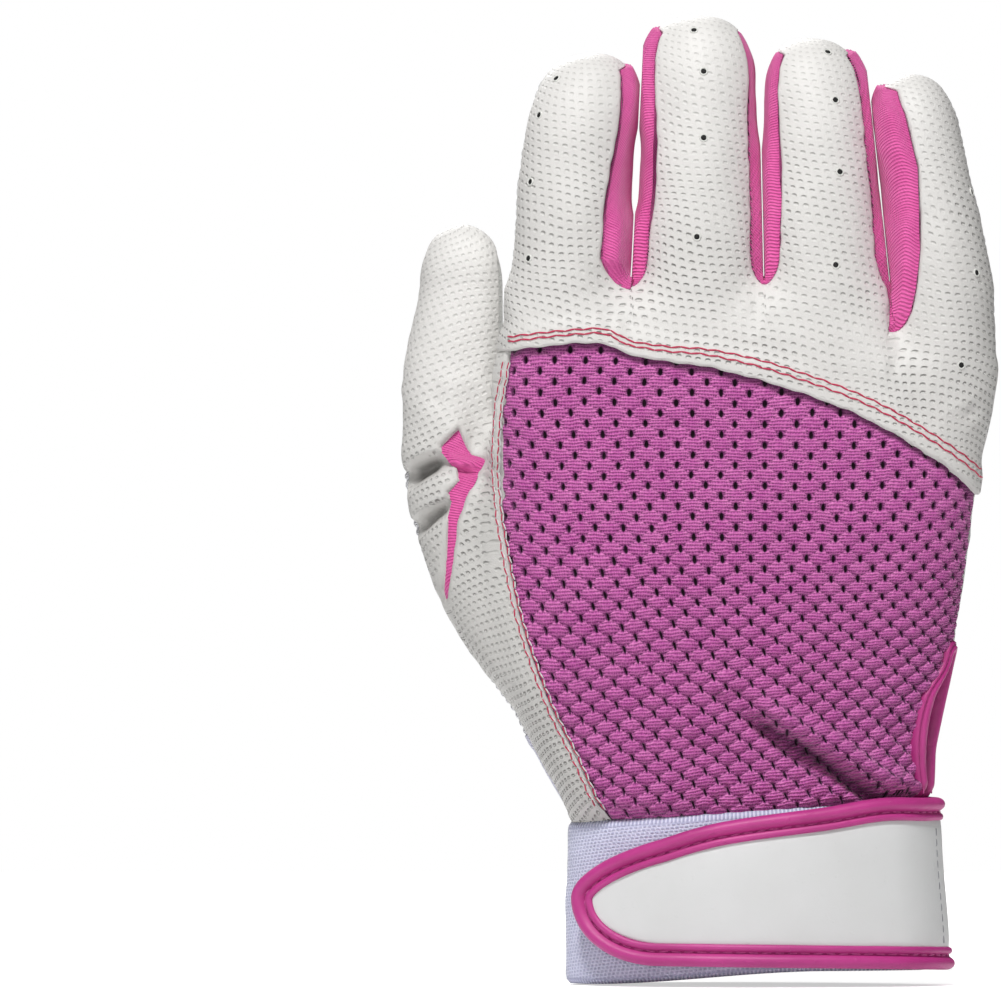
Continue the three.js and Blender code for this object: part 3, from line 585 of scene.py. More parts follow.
def surface_net(step, inset=0.0):
    """The form's surface, drawn in by inset, as a sheet from a grid of its distance."""
    axes = [np.arange(low, high + step, step) for low, high in zip(FORM_LOW, FORM_HIGH)]
    shape = [len(a) for a in axes]
    grid = np.empty(shape)
    y, z = np.meshgrid(axes[1], axes[2], indexing="ij")
    for i, x in enumerate(axes[0]):
        level = np.stack([np.full(y.size, x), y.ravel(), z.ravel()], 1)
        grid[i] = glove_form(level).reshape(y.shape) + inset
    inside = grid < 0
    corners = list(product((0, 1), repeat=3))

    def window(array, corner):
        return array[tuple(slice(c, c + n - 1) for c, n in zip(corner, shape))]

    filled = sum(window(inside, c).astype(np.int8) for c in corners)
    active = (filled > 0) & (filled < 8)
    cells = np.argwhere(active)
    number = np.full(active.shape, -1)
    number[active] = np.arange(len(cells))
    value = {c: window(grid, c)[active] for c in corners}
    total, hits = np.zeros((len(cells), 3)), np.zeros(len(cells))
    for c in corners:
        for k in range(3):
            if c[k]:
                continue
            d = tuple(c[j] + (j == k) for j in range(3))
            crossing = (value[c] < 0) != (value[d] < 0)
            t = value[c] / np.where(crossing, value[c] - value[d], 1)
            total += crossing[:, None] * (np.array(c, float) + np.outer(t, np.eye(3)[k]))
            hits += crossing
    points = np.array(FORM_LOW) + step * (cells + total / hits[:, None])
    quads = []
    for k in range(3):
        u, v = (k + 1) % 3, (k + 2) % 3
        one = np.take(inside, range(shape[k] - 1), axis=k)
        two = np.take(inside, range(1, shape[k]), axis=k)
        at = np.argwhere(one != two)
        at = at[(at[:, u] > 0) & (at[:, v] > 0) & (at[:, u] < shape[u] - 1) & (at[:, v] < shape[v] - 1)]
        around = []
        for du, dv in ((1, 1), (0, 1), (0, 0), (1, 0)):
            cell = at.copy()
            cell[:, u] -= du
            cell[:, v] -= dv
            around.append(number[tuple(cell.T)])
        around = np.stack(around, 1)
        quads.append(np.where(one[tuple(at.T)][:, None], around, around[:, ::-1]))
    quads = np.concatenate(quads)
    triangles = np.concatenate([quads[:, [0, 1, 2]], quads[:, [0, 2, 3]]])
    if inset:
        return Sheet(points, triangles, unit(form_slope(points)))
    points, normals = onto_form(points, 2)
    return Sheet(points, triangles, normals)


# Bodies: each digit has a stretch round its crease, and sheets are cut where that stretch begins
BENDS = {name: (f["crease"] - BEND_BELOW, f["crease"] + BEND_ABOVE) for name, f in FINGERS.items()}
BENDS["thumb"] = (THUMB_CREASE - THUMB_BEND_BELOW, THUMB_CREASE + THUMB_BEND_ABOVE)
DIGITS = list(BENDS)


def digit_field(p, name):
    """Positive where a digit's bend has begun."""
    low, high = digit_range(name, p[:, 2])
    if name == "thumb":
        slant = WEB_SLANT * (p[:, 1] - WEB_MIDDLE)
        high = high + np.clip(slant, -WEB_SLANT_REACH, WEB_SLANT_REACH)
    return np.where((p[:, 0] > low) & (p[:, 0] < high), p[:, 2] - BENDS[name][0], -1.0)


def cut_at_bends(sheet):
    for name in DIGITS:
        sheet = split(sheet, digit_field(sheet.p, name))
    return sheet


def body_labels(centres):
    labels = np.full(len(centres), "hand", dtype="<U8")
    for name in DIGITS:
        labels[digit_field(centres, name) > 0] = name
    return labels


master = cut_at_bends(clip(surface_net(GRID_STEP), cuff_field))


# Meshes
def vertex_normals(points, triangles):
    a, b, c = (points[triangles[:, k]] for k in range(3))
    face = np.cross(b - a, c - a)
    normals = np.zeros_like(points)
    for k in range(3):
        np.add.at(normals, triangles[:, k], face)
    return unit(normals)


def border_edges(triangles):
    sides = triangle_sides(triangles)
    *_, first, count = unique_edges(sides, sides.max() + 1)
    return sides[first[count == 1]]


def make_mesh(name, points, faces, material, pattern=None, normals=None, values=None):
    """An object from points in millimetres and faces of one size, with its pattern coordinates and values."""
    mesh = bpy.data.meshes.new(name)
    mesh.vertices.add(len(points))
    mesh.vertices.foreach_set("co", (points * 0.001).astype(np.float32).ravel())
    mesh.loops.add(faces.size)
    mesh.loops.foreach_set("vertex_index", faces.astype(np.int32).ravel())
    mesh.polygons.add(len(faces))
    mesh.polygons.foreach_set("loop_start", np.arange(0, faces.size, faces.shape[1], dtype=np.int32))
    mesh.polygons.foreach_set("use_smooth", np.ones(len(faces), bool))
    mesh.update(calc_edges=True)
    if pattern is not None:
        layer = mesh.uv_layers.new(name="pattern")
        layer.data.foreach_set("uv", pattern[faces.ravel()].astype(np.float32).ravel())
    for key, value in {"place": points, **(values or {})}.items():
        kind, field = ("FLOAT_VECTOR", "vector") if value.ndim == 2 else ("FLOAT", "value")
        mesh.attributes.new(key, kind, "POINT").data.foreach_set(field, value.astype(np.float32).ravel())
    if normals is not None:
        mesh.normals_split_custom_set_from_vertices(normals.astype(np.float32))
    mesh.materials.append(material)
    made = bpy.data.objects.new(name, mesh)
    bpy.context.scene.collection.objects.link(made)
    return made


def settle(made, body, nodes=()):
    """A piece that rides the hand, or a piece of a digit or the strap, left where it stands."""
    if body == "strap":
        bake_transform(made)
    elif body in DIGITS:
        low, high = BENDS[body]
        low * 0.001
        high * 0.001
        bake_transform(made)
    else:
        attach(made, body)
    if nodes:
        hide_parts(*nodes)


def pattern_of(p):
    """Flat coordinates in millimetres that follow the hand, each finger and the thumb."""
    x, y, z = p.T
    level = np.clip(z, HAND_HEIGHTS[0], HAND_HEIGHTS[-1])
    round_side = np.tanh((x - (hand_left(level) + hand_right(level)) / 2) / 10)
    u = x + 0.9 * round_side * np.maximum(hand_depth(level) / 2 - np.abs(y), 0)
    v = z.copy()
    for name, finger in FINGERS.items():
        low, high = digit_range(name, z)
        cx, cy, half_width, half_depth = finger_section(finger, z)
        turn = np.arctan2((x - cx) / half_width, np.abs(y - cy) / half_depth + 1e-3)
        own = (x > low) & (x < high)
        share = np.where(own, smooth_step(z, finger["crotch"] - 8, finger["crotch"] + 2), 0)
        u = u + share * (ROOT_CENTRES[finger["order"]] + half_width * turn - u)
        shoulder = finger["tip"] - FINGER_DOME
        over = np.clip((z - shoulder) / FINGER_DOME, 0, 1)
        v = np.where(own & (z > shoulder), shoulder + FINGER_DOME * np.arcsin(over), v)
    across, deep = (x - thumb_x(z)) / thumb_width(z) * 2, np.abs(y - thumb_y(z)) / thumb_depth(z) * 2
    turn = np.arctan2(across, deep + 1e-3)
    share = smooth_step(WEB_LINE - x, -2, 3) * smooth_step(z, 60, 85)
    u = u + share * (THUMB_MIDDLE_X + thumb_width(z) / 2 * turn - u)
    return np.stack([u, v], 1)


def panel(name, sheet, lift, edge, material, nodes, depth=1.5, pattern=None, values=None):
    """A sewn panel: a sheet lifted off the form, with its rim turned in.
    It is made as one piece for each body that it covers."""
    points = sheet.p + sheet.n * lift[:, None]
    normals = vertex_normals(points, sheet.t)
    rim = border_edges(sheet.t)
    total = len(points)
    wall = np.concatenate([
        np.stack([rim[:, 1], rim[:, 0], rim[:, 0] + total], 1),
        np.stack([rim[:, 1], rim[:, 0] + total, rim[:, 1] + total], 1),
    ])
    labels = body_labels(np.concatenate([sheet.p[sheet.t].mean(1), np.tile(sheet.p[rim].mean(1), (2, 1))]))

    def twice(array):
        return np.concatenate([array, array])

    points = np.concatenate([points, points - sheet.n * depth])
    faces = np.concatenate([sheet.t, wall])
    pattern = twice(pattern_of(sheet.p) if pattern is None else pattern)
    values = {key: twice(value) for key, value in {"edge": edge, **(values or {})}.items()}
    normals = twice(normals)
    for body in np.unique(labels):
        used, index = np.unique(faces[labels == body], return_inverse=True)
        own = {key: value[used] for key, value in values.items()}
        made = make_mesh(
            f"{name}_{body}", points[used], index.reshape(-1, 3), material, pattern[used], normals[used], own
        )
        settle(made, body, nodes.get(body, ()))


def grid_faces(rows, columns):
    """Quads over a grid of points, rows by columns, whose last column joins the first."""
    number = np.arange(rows * columns).reshape(rows, columns)
    number = np.concatenate([number, number[:, :1]], axis=1)
    a, b, c, d = number[:-1, :-1], number[:-1, 1:], number[1:, 1:], number[1:, :-1]
    return np.stack([a.ravel(), b.ravel(), c.ravel(), d.ravel()], 1)


def bead(rings=6, sides=8):
    """A small closed bead of unit half-lengths, for stitches and sunk holes."""
    along = np.sin(np.linspace(-1, 1, rings) * 1.5)[:, None]
    radius = np.sqrt(np.maximum(1 - along**4, 0.004))
    turn = np.linspace(0, 2 * np.pi, sides, endpoint=False)
    points = np.stack(np.broadcast_arrays(along, radius * np.cos(turn), radius * np.sin(turn)), -1)
    return points.reshape(-1, 3), grid_faces(rings, sides)


def ring(tube, sides=14, round_steps=6):
    """A ring of unit radius that lies flat, for the rim of a hole."""
    turns = [np.linspace(0, 2 * np.pi, count, endpoint=False) for count in (sides, round_steps)]
    a, b = np.meshgrid(*turns, indexing="ij")
    reach = 1 + tube * np.cos(b)
    points = np.stack([reach * np.cos(a), reach * np.sin(a), tube * np.sin(b)], -1).reshape(-1, 3)
    return points, grid_faces(sides + 1, round_steps) % (sides * round_steps)


def scatter(name, template, centres, along, up, sizes, material, body=None):
    """Copies of a small form set at centres, each lying along one direction and standing up in another."""
    points, faces = template
    side = unit(np.cross(up, along))
    up = unit(np.cross(along, side))
    local = points * np.array(sizes, float)
    axes = np.stack([along, side, up], 1)
    placed = centres[:, None, :] + np.einsum("vk,ckd->cvd", local, axes)
    labels = np.full(len(centres), body, dtype="<U8") if body else body_labels(centres)
    for one in np.unique(labels):
        own = placed[labels == one]
        index = (np.arange(len(own))[:, None, None] * len(points) + faces[None]).reshape(-1, 4)
        settle(make_mesh(f"{name}_{one}", own.reshape(-1, 3), index, material), one)


# Materials
class Value:
    """An output of a material's nodes, with the usual operators for numbers."""

    def __init__(self, shader, socket):
        self.shader, self.socket = shader, socket

    def __add__(self, other):
        return self.shader.math("ADD", self, other)

    def __sub__(self, other):
        return self.shader.math("SUBTRACT", self, other)

    def __rsub__(self, other):
        return self.shader.math("SUBTRACT", other, self)

    def __mul__(self, other):
        return self.shader.math("MULTIPLY", self, other)

    def __truediv__(self, other):
        return self.shader.math("DIVIDE", self, other)

    def __pow__(self, other):
        return self.shader.math("POWER", self, other)

    def __abs__(self):
        return self.shader.math("ABSOLUTE", self)


class Shader:
    """A principled material with short calls for its nodes. Its colours are as in a picture, 0 to 255."""

    def __init__(self, name):
        self.material = bpy.data.materials.new(name)
        self.material.use_nodes = True
        self.tree = self.material.node_tree
        self.principled = self.tree.nodes["Principled BSDF"]

    def put(self, socket, value):
        if isinstance(value, Value):
            self.tree.links.new(value.socket, socket)
        else:
            socket.default_value = colour(*value) if isinstance(value, tuple) else value

    def node(self, kind, inputs=(), output=0, **settings):
        """One output of a new node."""
        made = self.tree.nodes.new(kind)
        for key, value in settings.items():
            setattr(made, key, value)
        for key, value in dict(inputs).items():
            self.put(made.inputs[key], value)
        return Value(self, made.outputs[output])

    def math(self, operation, *values):
        return self.node("ShaderNodeMath", enumerate(values), operation=operation)

    def parts(self, vector):
        made = self.node("ShaderNodeSeparateXYZ", {0: vector})
        return [Value(self, socket) for socket in made.socket.node.outputs]

    def pattern(self):
        return self.parts(self.node("ShaderNodeUVMap", uv_map="pattern"))[:2]

    def value(self, name, output="Fac"):
        return self.node("ShaderNodeAttribute", output=output, attribute_name=name)

    def place(self):
        return self.parts(self.value("place", "Vector"))

    def noise(self, scale, detail):
        inputs = {"Vector": self.value("place", "Vector"), "Scale": scale, "Detail": detail}
        return self.node("ShaderNodeTexNoise", inputs, "Fac")

    def wave(self, value, pitch):
        return self.math("SINE", value * (2 * math.pi / pitch))

    def step(self, value, low, high):
        return self.node("ShaderNodeMapRange", {0: value, 1: low, 2: high}, interpolation_type="SMOOTHSTEP")

    def mix(self, share, a, b):
        return self.node("ShaderNodeMix", {0: share, 6: a, 7: b}, 2, data_type="RGBA")

    def finish(self, body, rough, height=None, depth=0.0, **others):
        """The material, with a bump of a depth in millimetres, and other settings by short names."""
        sockets = {"Base Color": body, "Roughness": rough}
        if height:
            sockets["Normal"] = self.node("ShaderNodeBump", {"Height": height, "Distance": depth * 0.001})
        for key, value in others.items():
            sockets[SHORT_NAMES[key]] = value
        for key, value in sockets.items():
            self.put(self.principled.inputs[key], value)
        return self.material


SHORT_NAMES = {
    "specular": "Specular IOR Level", "sheen": "Sheen Weight", "sheen_rough": "Sheen Roughness",
    "glow": "Emission Color", "glow_strength": "Emission Strength",
}


def colour(red, green, blue):
    """A colour from its values in a picture, 0 to 255."""

    def linear(c):
        return c / 12.92 if c <= 0.04045 else ((c + 0.055) / 1.055) ** 2.4

    return (*(linear(c / 255) for c in (red, green, blue)), 1.0)


def dimples(s, pitch, row_pitch, long, short, turn, wander=0.8):
    """Dashes pressed in slanting rows: how deep they are, and the upper rims of them."""
    u, v = s.pattern()
    u, v = u * math.cos(turn) - v * math.sin(turn), u * math.sin(turn) + v * math.cos(turn)
    u = u + s.noise(0.06, 1.0) * (2.5 * wander)
    v = v + s.noise(0.05, 1.0) * (6.0 * wander)
    row = v / row_pitch
    shift = s.math("FLOOR", row) * 0.28
    across = s.math("FRACT", u / pitch + shift) - 0.5
    up = s.math("FRACT", row) - 0.5 + across * across * 0.5
    a, b = abs(across * (pitch / long)), abs(up * (row_pitch / short))
    away = (a**3.0 + b**3.0) ** (1 / 3)
    pressed = s.step(away, 1.0, 0.4)
    return pressed, pressed * s.step(up, -0.06, 0.06)


def leather(name, dashes, press, rim_shade, light=(228, 226, 223), fade=(176.0, 130.0), low_shade=0.1):
    """White grained leather with pressed dashes whose upper rims carry painted shadow, and painted shade at
    edges and in folds.
    From one height down to another the dashes get clearer and the leather greyer, as painted shade."""
    s = Shader(name)
    edge = s.value("edge")
    low = s.step(s.place()[2], *fade)
    # The dashes show in random patches, and more lower down where the leather gets painted shade
    wear_and_shade = s.step(s.noise(0.06, 2.0), 0.3, 0.62) * low
    clear = s.step(edge, 0.7, 1.8) * (wear_and_shade * 0.7 + 0.3)
    pressed, rims = (part * clear for part in dimples(s, **dashes))
    grain = s.noise(3.0, 3.0)
    body = s.mix(s.noise(0.07, 3.0), light, tuple(value - 20 for value in light))
    # Painted shade: the leather greys lower down
    body = s.mix(low * low_shade, body, (128, 127, 122))
    # Painted shadow on the upper rim of each pressed dash
    body = s.mix(rims * rim_shade, body, (100, 100, 94))
    # Painted shade along the seam edges, darker still where the edge value drops in folds and pockets
    body = s.mix(s.step(edge, 1.2, 0.0) * 0.4, body, (170, 167, 164))
    body = s.mix(s.step(edge, 0.2, -2.2) * 0.75, body, (104, 102, 98))
    return s.finish(body, grain * 0.22 + 0.42, grain * 0.3 - pressed, press, specular=0.35)


def knit(name, light, dark, pitch=0.62, bump=0.09):
    """A fine stretch knit with slanting ribs."""
    s = Shader(name)
    x, y, z = s.place()
    ribs = s.wave(z + y * 1.1 + x * 0.5, pitch)
    loops = s.wave(y - z * 0.4, pitch * 0.7) * 0.3 + ribs
    shade = loops * s.noise(0.3, 1.0) * 0.3 + 0.3 + s.noise(0.22, 3.0) * 0.5
    body = s.mix(shade, dark, light)
    # Painted shade along the knit's edges, where it goes in under the next part, and in the valleys between
    # ribs
    body = s.mix(s.step(s.value("edge"), 1.2, 0.0) * 0.3, body, dark)
    return s.finish(body, 0.85, loops, bump, specular=0.2, sheen=0.2, sheen_rough=0.4)


def open_mesh(name, light, dark, valley_shade, crease):
    """Knitted mesh: dashed courses that arch over lobes, with painted highlight on the lobes' tops and
    painted shade where they tuck under, in the gaps between stitches and round the holes, and painted shadow
    under the hem, along the thumb seam and in the big fold.
    """
    s = Shader(name)
    u, v = s.pattern()
    a, b = u / MESH_ACROSS, v / MESH_UP
    p, q = s.math("FRACT", a + b), s.math("FRACT", a - b)
    from_top = s.math("MINIMUM", q, 1.0 - p)
    from_foot = s.math("MINIMUM", p, 1.0 - q)
    bow = (from_foot - from_top) * 0.3
    course = s.wave(v + s.noise(0.35, 2.0) * 0.9 + bow, 0.72)
    stitch = s.wave(u + s.noise(0.5, 2.0) * 1.6, 0.5)
    loops = stitch * 0.35 + course
    shade = loops * 0.16 + s.noise(0.25, 3.0) * 0.5 + s.noise(1.7, 2.0) * 0.65
    # Painted highlight on the top of each lobe
    shade = shade + s.step(from_top, 0.3, 0.0) * 0.25 - 0.22
    # Painted shade where each lobe tucks under the next, stronger lower down, and in the gaps between
    # stitches
    low = s.step(s.place()[2], 100.0, 62.0)
    foot = s.step(from_foot, 0.45, 0.02)
    dashes = s.step(course, -0.1, -0.7) * s.step(stitch, 0.5, -0.3)
    body = s.mix(shade, dark, light)
    body = s.mix(foot * (low * 0.7 + 0.3) * 0.4, body, valley_shade)
    body = s.mix(dashes * (foot * 0.45 + 0.35), body, valley_shade)
    # Painted shade round each hole
    body = s.mix(s.step(s.value("height"), 0.5, -0.1), body, valley_shade)
    # Painted shadow under the hem and the strip by the thumb seam, and in the crease of the big fold
    body = s.mix(s.step(s.value("edge"), 1.5, 0.2) * 0.75, body, crease)
    return s.finish(body, 0.75, loops, 0.12, specular=0.25, sheen=0.2, sheen_rough=0.35)


def elastic(name, light, dark, palm_light, palm_dark):
    """Woven elastic: small staggered yarns with slubs across, whiter on the palm side, with a ribbed edge."""
    s = Shader(name)
    edge = s.value("edge")
    yarn, _ = dimples(s, pitch=0.9, row_pitch=0.62, long=0.42, short=0.3, turn=0.1, wander=0.15)
    slub = s.step(s.noise(2.6, 2.0), 0.3, 0.7)
    ribbed = s.step(edge, 1.6, 1.2)
    ribs = s.wave(s.pattern()[0], 0.75) * 0.5 + 0.5
    weave = slub * 0.35 + 0.65 - yarn * 0.6
    height = weave * (1.0 - ribbed) + ribs * ribbed
    seam = s.step(abs(edge - 1.5), 0.3, 0.1) * 0.5
    palm = s.step(s.place()[1], -4.0, 4.0)
    dark = s.mix(palm, dark, palm_dark)
    body = s.mix(height, dark, s.mix(palm, light, palm_light))
    return s.finish(s.mix(seam, body, dark), 0.85, height, 0.16, specular=0.2, sheen=0.1)


def coated(name, light, dark, rough, grain_size=1.6, bump=0.03):
    """A smooth coat with a faint grain and small pits."""
    s = Shader(name)
    grain = s.noise(grain_size, 3.0)
    body = s.mix(s.noise(0.09, 3.0), light, dark)
    # Painted shade near the edges and in the sewn grooves
    body = s.mix(s.step(s.value("edge"), 0.9, 0.0) * 0.6, body, dark)
    pits = s.step(s.noise(0.8, 0.0), 0.28, 0.2)
    return s.finish(body, grain * 0.2 + rough, grain * 0.5 - pits, bump)


def thread(name, light, dark):
    s = Shader(name)
    body = s.mix(s.noise(1.5, 3.0), light, dark)
    return s.finish(body, 0.6, s.noise(5.0, 1.0), 0.05, sheen=0.2)


def pile(name, light, dark, size):
    """Hook or loop tape, or suede."""
    s = Shader(name)
    tufts = s.noise(size, 2.0)
    body = s.mix(s.step(tufts, 0.35, 0.65), dark, light)
    return s.finish(body, 0.9, tufts, 0.4, sheen=0.3)


BACK_DASHES = {"pitch": 1.86, "row_pitch": 1.45, "long": 0.62, "short": 0.36, "turn": 0.18}
PALM_DASHES = {"pitch": 1.35, "row_pitch": 1.05, "long": 0.46, "short": 0.26, "turn": 0.0}
THUMB_DASHES = {"pitch": 1.6, "row_pitch": 1.4, "long": 0.58, "short": 0.4, "turn": -0.3}
# Each leather has painted shadow on its dashes' upper rims, and painted shade that greys it lower down
back_leather = leather("back_leather", BACK_DASHES, press=0.26, rim_shade=0.8)
palm_leather = leather("palm_leather", PALM_DASHES, press=0.12, rim_shade=0.3, light=(234, 234, 231), low_shade=0.03)
thumb_leather = leather("thumb_leather", THUMB_DASHES, press=0.34, rim_shade=0.8, fade=(122.0, 82.0), low_shade=0.3)
pink_knit = knit("pink_knit", (244, 118, 186), (200, 62, 138))
spandex = knit("spandex", (226, 226, 240), (206, 206, 224), pitch=0.45, bump=0.04)
rib_knit = knit("rib_knit", (250, 250, 252), (228, 228, 232), pitch=0.5, bump=0.12)
lining_cloth = knit("lining_cloth", (206, 206, 210), (176, 176, 182), pitch=0.5)
# Its last two colours are painted shade: in valleys and round holes, and under the hem and in creases
orchid_mesh = open_mesh("orchid_mesh", (236, 140, 204), (174, 62, 148), (84, 22, 76), (70, 22, 62))
cuff_elastic = elastic("cuff_elastic", (224, 225, 245), (170, 172, 202), (244, 244, 244), (172, 172, 173))
# A dark sheet, painted shade, seen through the mesh's holes and along its seams
mesh_shade_sheet = coated("mesh_shade_sheet", (46, 14, 40), (28, 8, 24), rough=0.8)
binding_coat = coated("binding_coat", (204, 62, 148), (160, 38, 112), rough=0.4, bump=0.05)
strap_coat = coated("strap_coat", (220, 221, 221), (211, 212, 211), rough=0.3, grain_size=1.2, bump=0.02)
# Near-black beads: painted shade inside the air holes
hole_shade = coated("hole_shade", (24, 22, 22), (12, 11, 11), rough=0.7)
suede = pile("suede", (206, 204, 200), (186, 184, 180), size=2.5)
loop_pile = pile("loop_pile", (212, 212, 216), (150, 150, 156), size=1.3)
hook_pile = pile("hook_pile", (196, 196, 200), (132, 132, 138), size=2.2)
crimson_thread = thread("crimson_thread", (206, 44, 88), (160, 24, 62))
rose_thread = thread("rose_thread", (222, 96, 172), (150, 34, 104))
grey_thread = thread("grey_thread", (150, 150, 156), (96, 96, 102))
white_thread = thread("white_thread", (222, 222, 222), (180, 180, 180))
rim_leather = thread("rim_leather", (226, 226, 222), (206, 206, 200))

# How each panel stands off the form
SEAM_RADIUS, SEAM_DROP, PUCKER, PUCKER_REACH = 1.2, 0.85, 0.25, 1.8
FINGER_GAP, OPEN_ROOM = 0.12, 9.0
CUFF_CLEARANCE, CUFF_LIP, CUFF_EASE = 0.9, 0.3, 1.2
WALL_SINK, WALL_FULL, WALL_UNEVEN = 0.18, 0.38, 0.2


def turned(edge):
    """The profile of a turned seam: it rolls down to the stitching."""
    t = np.clip(edge / SEAM_RADIUS, 0, 1)
    return SEAM_DROP * (np.sqrt(1 - (1 - t) ** 2) - 1)


def life(p, amount=1.0):
    """The soft unevenness of cloth over a hand."""
    return amount * (0.55 * value_noise(p, 19, 1) + 0.28 * value_noise(p, 8, 2))


def puckers(p, edge):
    """Small pulls across a sewn edge."""
    return PUCKER * value_noise(p, 2.3, 5) * np.exp(-np.maximum(edge, 0) / PUCKER_REACH)


def fold(p, n, line, width, depth, side, ledge=0.0, fade=(0.0, 0.5)):
    """A crease along a line in plan on one side of the glove.
    It is a groove between soft rolls, or a ledge over a pocket."""
    away = line_field(p, spline(line, 14)) / width
    ends = np.minimum(*(np.hypot(p[:, 0] - x, p[:, 2] - z) for x, z in (line[0], line[-1])))
    facing = smooth_step(n[:, 1] * side, *fade) * smooth_step(ends / width, 0.5, 4.5)
    if ledge:
        pocket = smooth_step(-away, -0.4, 0.4) * (1 - smooth_step(-away, 0.4, 2.4))
        return facing * depth * (ledge * np.exp(-(((away - 1.3) / 1.2) ** 2)) - pocket)
    roll = 0.5 * np.exp(-(((np.abs(away) - 2.1) / 1.2) ** 2))
    return facing * depth * (roll - np.exp(-(away**2)))


# Creases across each finger's front: a height above the crotch, a depth and a width
FINGER_CREASES = [(19.5, 1.1, 1.3), (14.0, 0.4, 1.0), (1.0, 0.8, 1.6)]


def finger_creases(p, n):
    """Creases across the fronts of the fingers, at their joints and roots, and round the thumb's joint."""
    t = np.array([-0.8, -0.4, 0.1, 0.5, 0.8])
    total = np.zeros(len(p))
    for finger in FINGERS.values():
        lean = 1.5 * (finger["order"] - 1.5)
        for above, depth, width in FINGER_CREASES:
            height = finger["crotch"] + above
            cx, _, half_width, _ = finger_section(finger, height)
            line = np.stack([cx + t * half_width, height + 1.3 * t * t + lean * t], 1)
            total += fold(p, n, line, width, depth, 1)
    thumb_line = [(-62, THUMB_CREASE), (-55, THUMB_CREASE - 1), (-49, THUMB_CREASE + 1)]
    return total + fold(p, n, thumb_line, 1.4, 0.8, 1)


# Folds of each panel: a line in plan, a width, a depth and, for a pocket, its ledge and where it fades
PALM_FOLDS = [
    ([(2.4, 121), (14, 107), (23.8, 89)], 3.6, 0.9),
    ([(42, 108.8), (36.5, 104.5), (30, 106.4)], 1.5, 1.0),
    ([(-38, 112), (-27, 96), (-22, 78), (-24, 58)], 3.0, 0.7),
]
THUMB_POCKETS = [
    ([(-74, 88), (-66, 94.6), (-61.5, 97.4), (-57, 98.4), (-52, 96)], 2.1, 4.2, 0.12, (-0.1, 0.4)),
    ([(-71, 78), (-63, 85.6), (-58.5, 89), (-53, 91.6)], 1.6, 3.2, 0.12, (-0.1, 0.4)),
]
THUMB_FOLDS = THUMB_POCKETS + [
    ([(-52, 108), (-50.5, 98), (-50, 88)], 1.6, 0.7),
    ([(-62, 112), (-57, 108), (-53, 107)], 1.6, 0.5),
]
MESH_FOLDS = [
    ([(-3, 52.5), (5.6, 47.1), (13, 43), (20.5, 38.1), (26, 34.6), (33, 29)], 1.8, 4.4, 0.7),
    ([(20, 52), (28, 46), (33, 40)], 1.8, 0.7),
    ([(-24, 52), (-14, 45), (-2, 42)], 2.4, 0.4),
]
GUSSET_FOLDS = [
    ([(-58, 97.4), (-55, 96.4), (-49, 95.7)], 0.8, 1.1, 0.9),
]
KNUCKLE_FOLDS = [
    ([(-26.5, 124), (-25.8, 119)], 0.8, 0.45),
    ([(0, 122), (2, 128)], 0.9, 0.35),
    ([(27, 111), (26.5, 118)], 1.0, 0.5),
    ([(44, 108), (38, 104)], 1.0, 0.4),
]


def folds(p, n, lines, side):
    return sum(fold(p, n, line, width, depth, side, *more) for line, width, depth, *more in lines)


def raised_edge(away, height):
    """A raw edge that lies over the next panel."""
    return height * (1 - smooth_step(away, 2.0, 6.0)) - 0.25 * np.clip(1 - away / 0.4, 0, 1) ** 2


def gap_room(p, n):
    """How far a finger's side can stand off before it touches the next finger."""
    x, z = p[:, 0], p[:, 2]
    room = np.full(len(p), OPEN_ROOM)
    for name, finger in FINGERS.items():
        low, high = digit_range(name, z)
        cx = finger_section(finger, z)[0]
        own = (x > low) & (x < high) & (z > finger["crotch"] + 1)
        if name == "index":
            low = low - OPEN_ROOM
        side = np.where(x < cx, x - low, high - x)
        room = np.where(own, (side - FINGER_GAP) / np.maximum(np.abs(n[:, 0]), 0.3), room)
    return room


def cuff_room(p):
    """How far a panel can stand off and still go in under the cuff, which it spreads out above."""
    x, y = p[:, 0] / (CUFF_WIDTH / 2), p[:, 1] / (CUFF_DEPTH / 2)
    ring = np.maximum(np.hypot(x, y), 0.1)
    slope = np.hypot(x / (CUFF_WIDTH / 2), y / (CUFF_DEPTH / 2)) / ring
    above = cuff_field(p) - CUFF_TUCK - CUFF_LIP
    return (1 - ring) / slope - CUFF_CLEARANCE + np.maximum(above, 0)


def held(p, n, lift):
    """A lift that goes in under the cuff and is kept on its own side of the gaps between the fingers."""
    return np.minimum(smooth_min(lift, cuff_room(p), CUFF_EASE), gap_room(p, n))


def palm_lift(p, n):
    edge = np.minimum(palm_field(p), -wrist_field(p))
    shape = turned(edge) + life(p) + puckers(p, edge)
    return held(p, n, shape + finger_creases(p, n) + folds(p, n, PALM_FOLDS, 1))


def back_lift(p, n):
    edge = back_field(p)
    raw = raised_edge(hem_field(p), 0.95) * smooth_step(edge, 0, 2.5)
    shape = turned(edge) + raw + life(p) + puckers(p, edge)
    return held(p, n, shape + folds(p, n, KNUCKLE_FOLDS, -1))


def thumb_lift(p, n):
    edge = np.minimum(back_field(p), -gusset_field(p))
    raw = raised_edge(thumb_side_field(p), 0.6) * smooth_step(back_field(p), 0, 2.5)
    shape = turned(edge) + raw + life(p) + puckers(p, edge)
    return held(p, n, shape + folds(p, n, THUMB_FOLDS, -1))


# How far the sidewalls fill the gaps between the fingers, by height
GAP_FILL = [
    through([129, 140, 146, 158, 165, 172], [1.4, 1.2, 0.1, 0.1, 0.9, 0.9]),
    through([129, 150, 157, 165], [1.0, 1.0, 0.4, 0.0]),
    through([119, 140, 144, 151, 156, 166], [1.0, 1.0, 0.2, 0.2, 1.0, 1.0]),
]


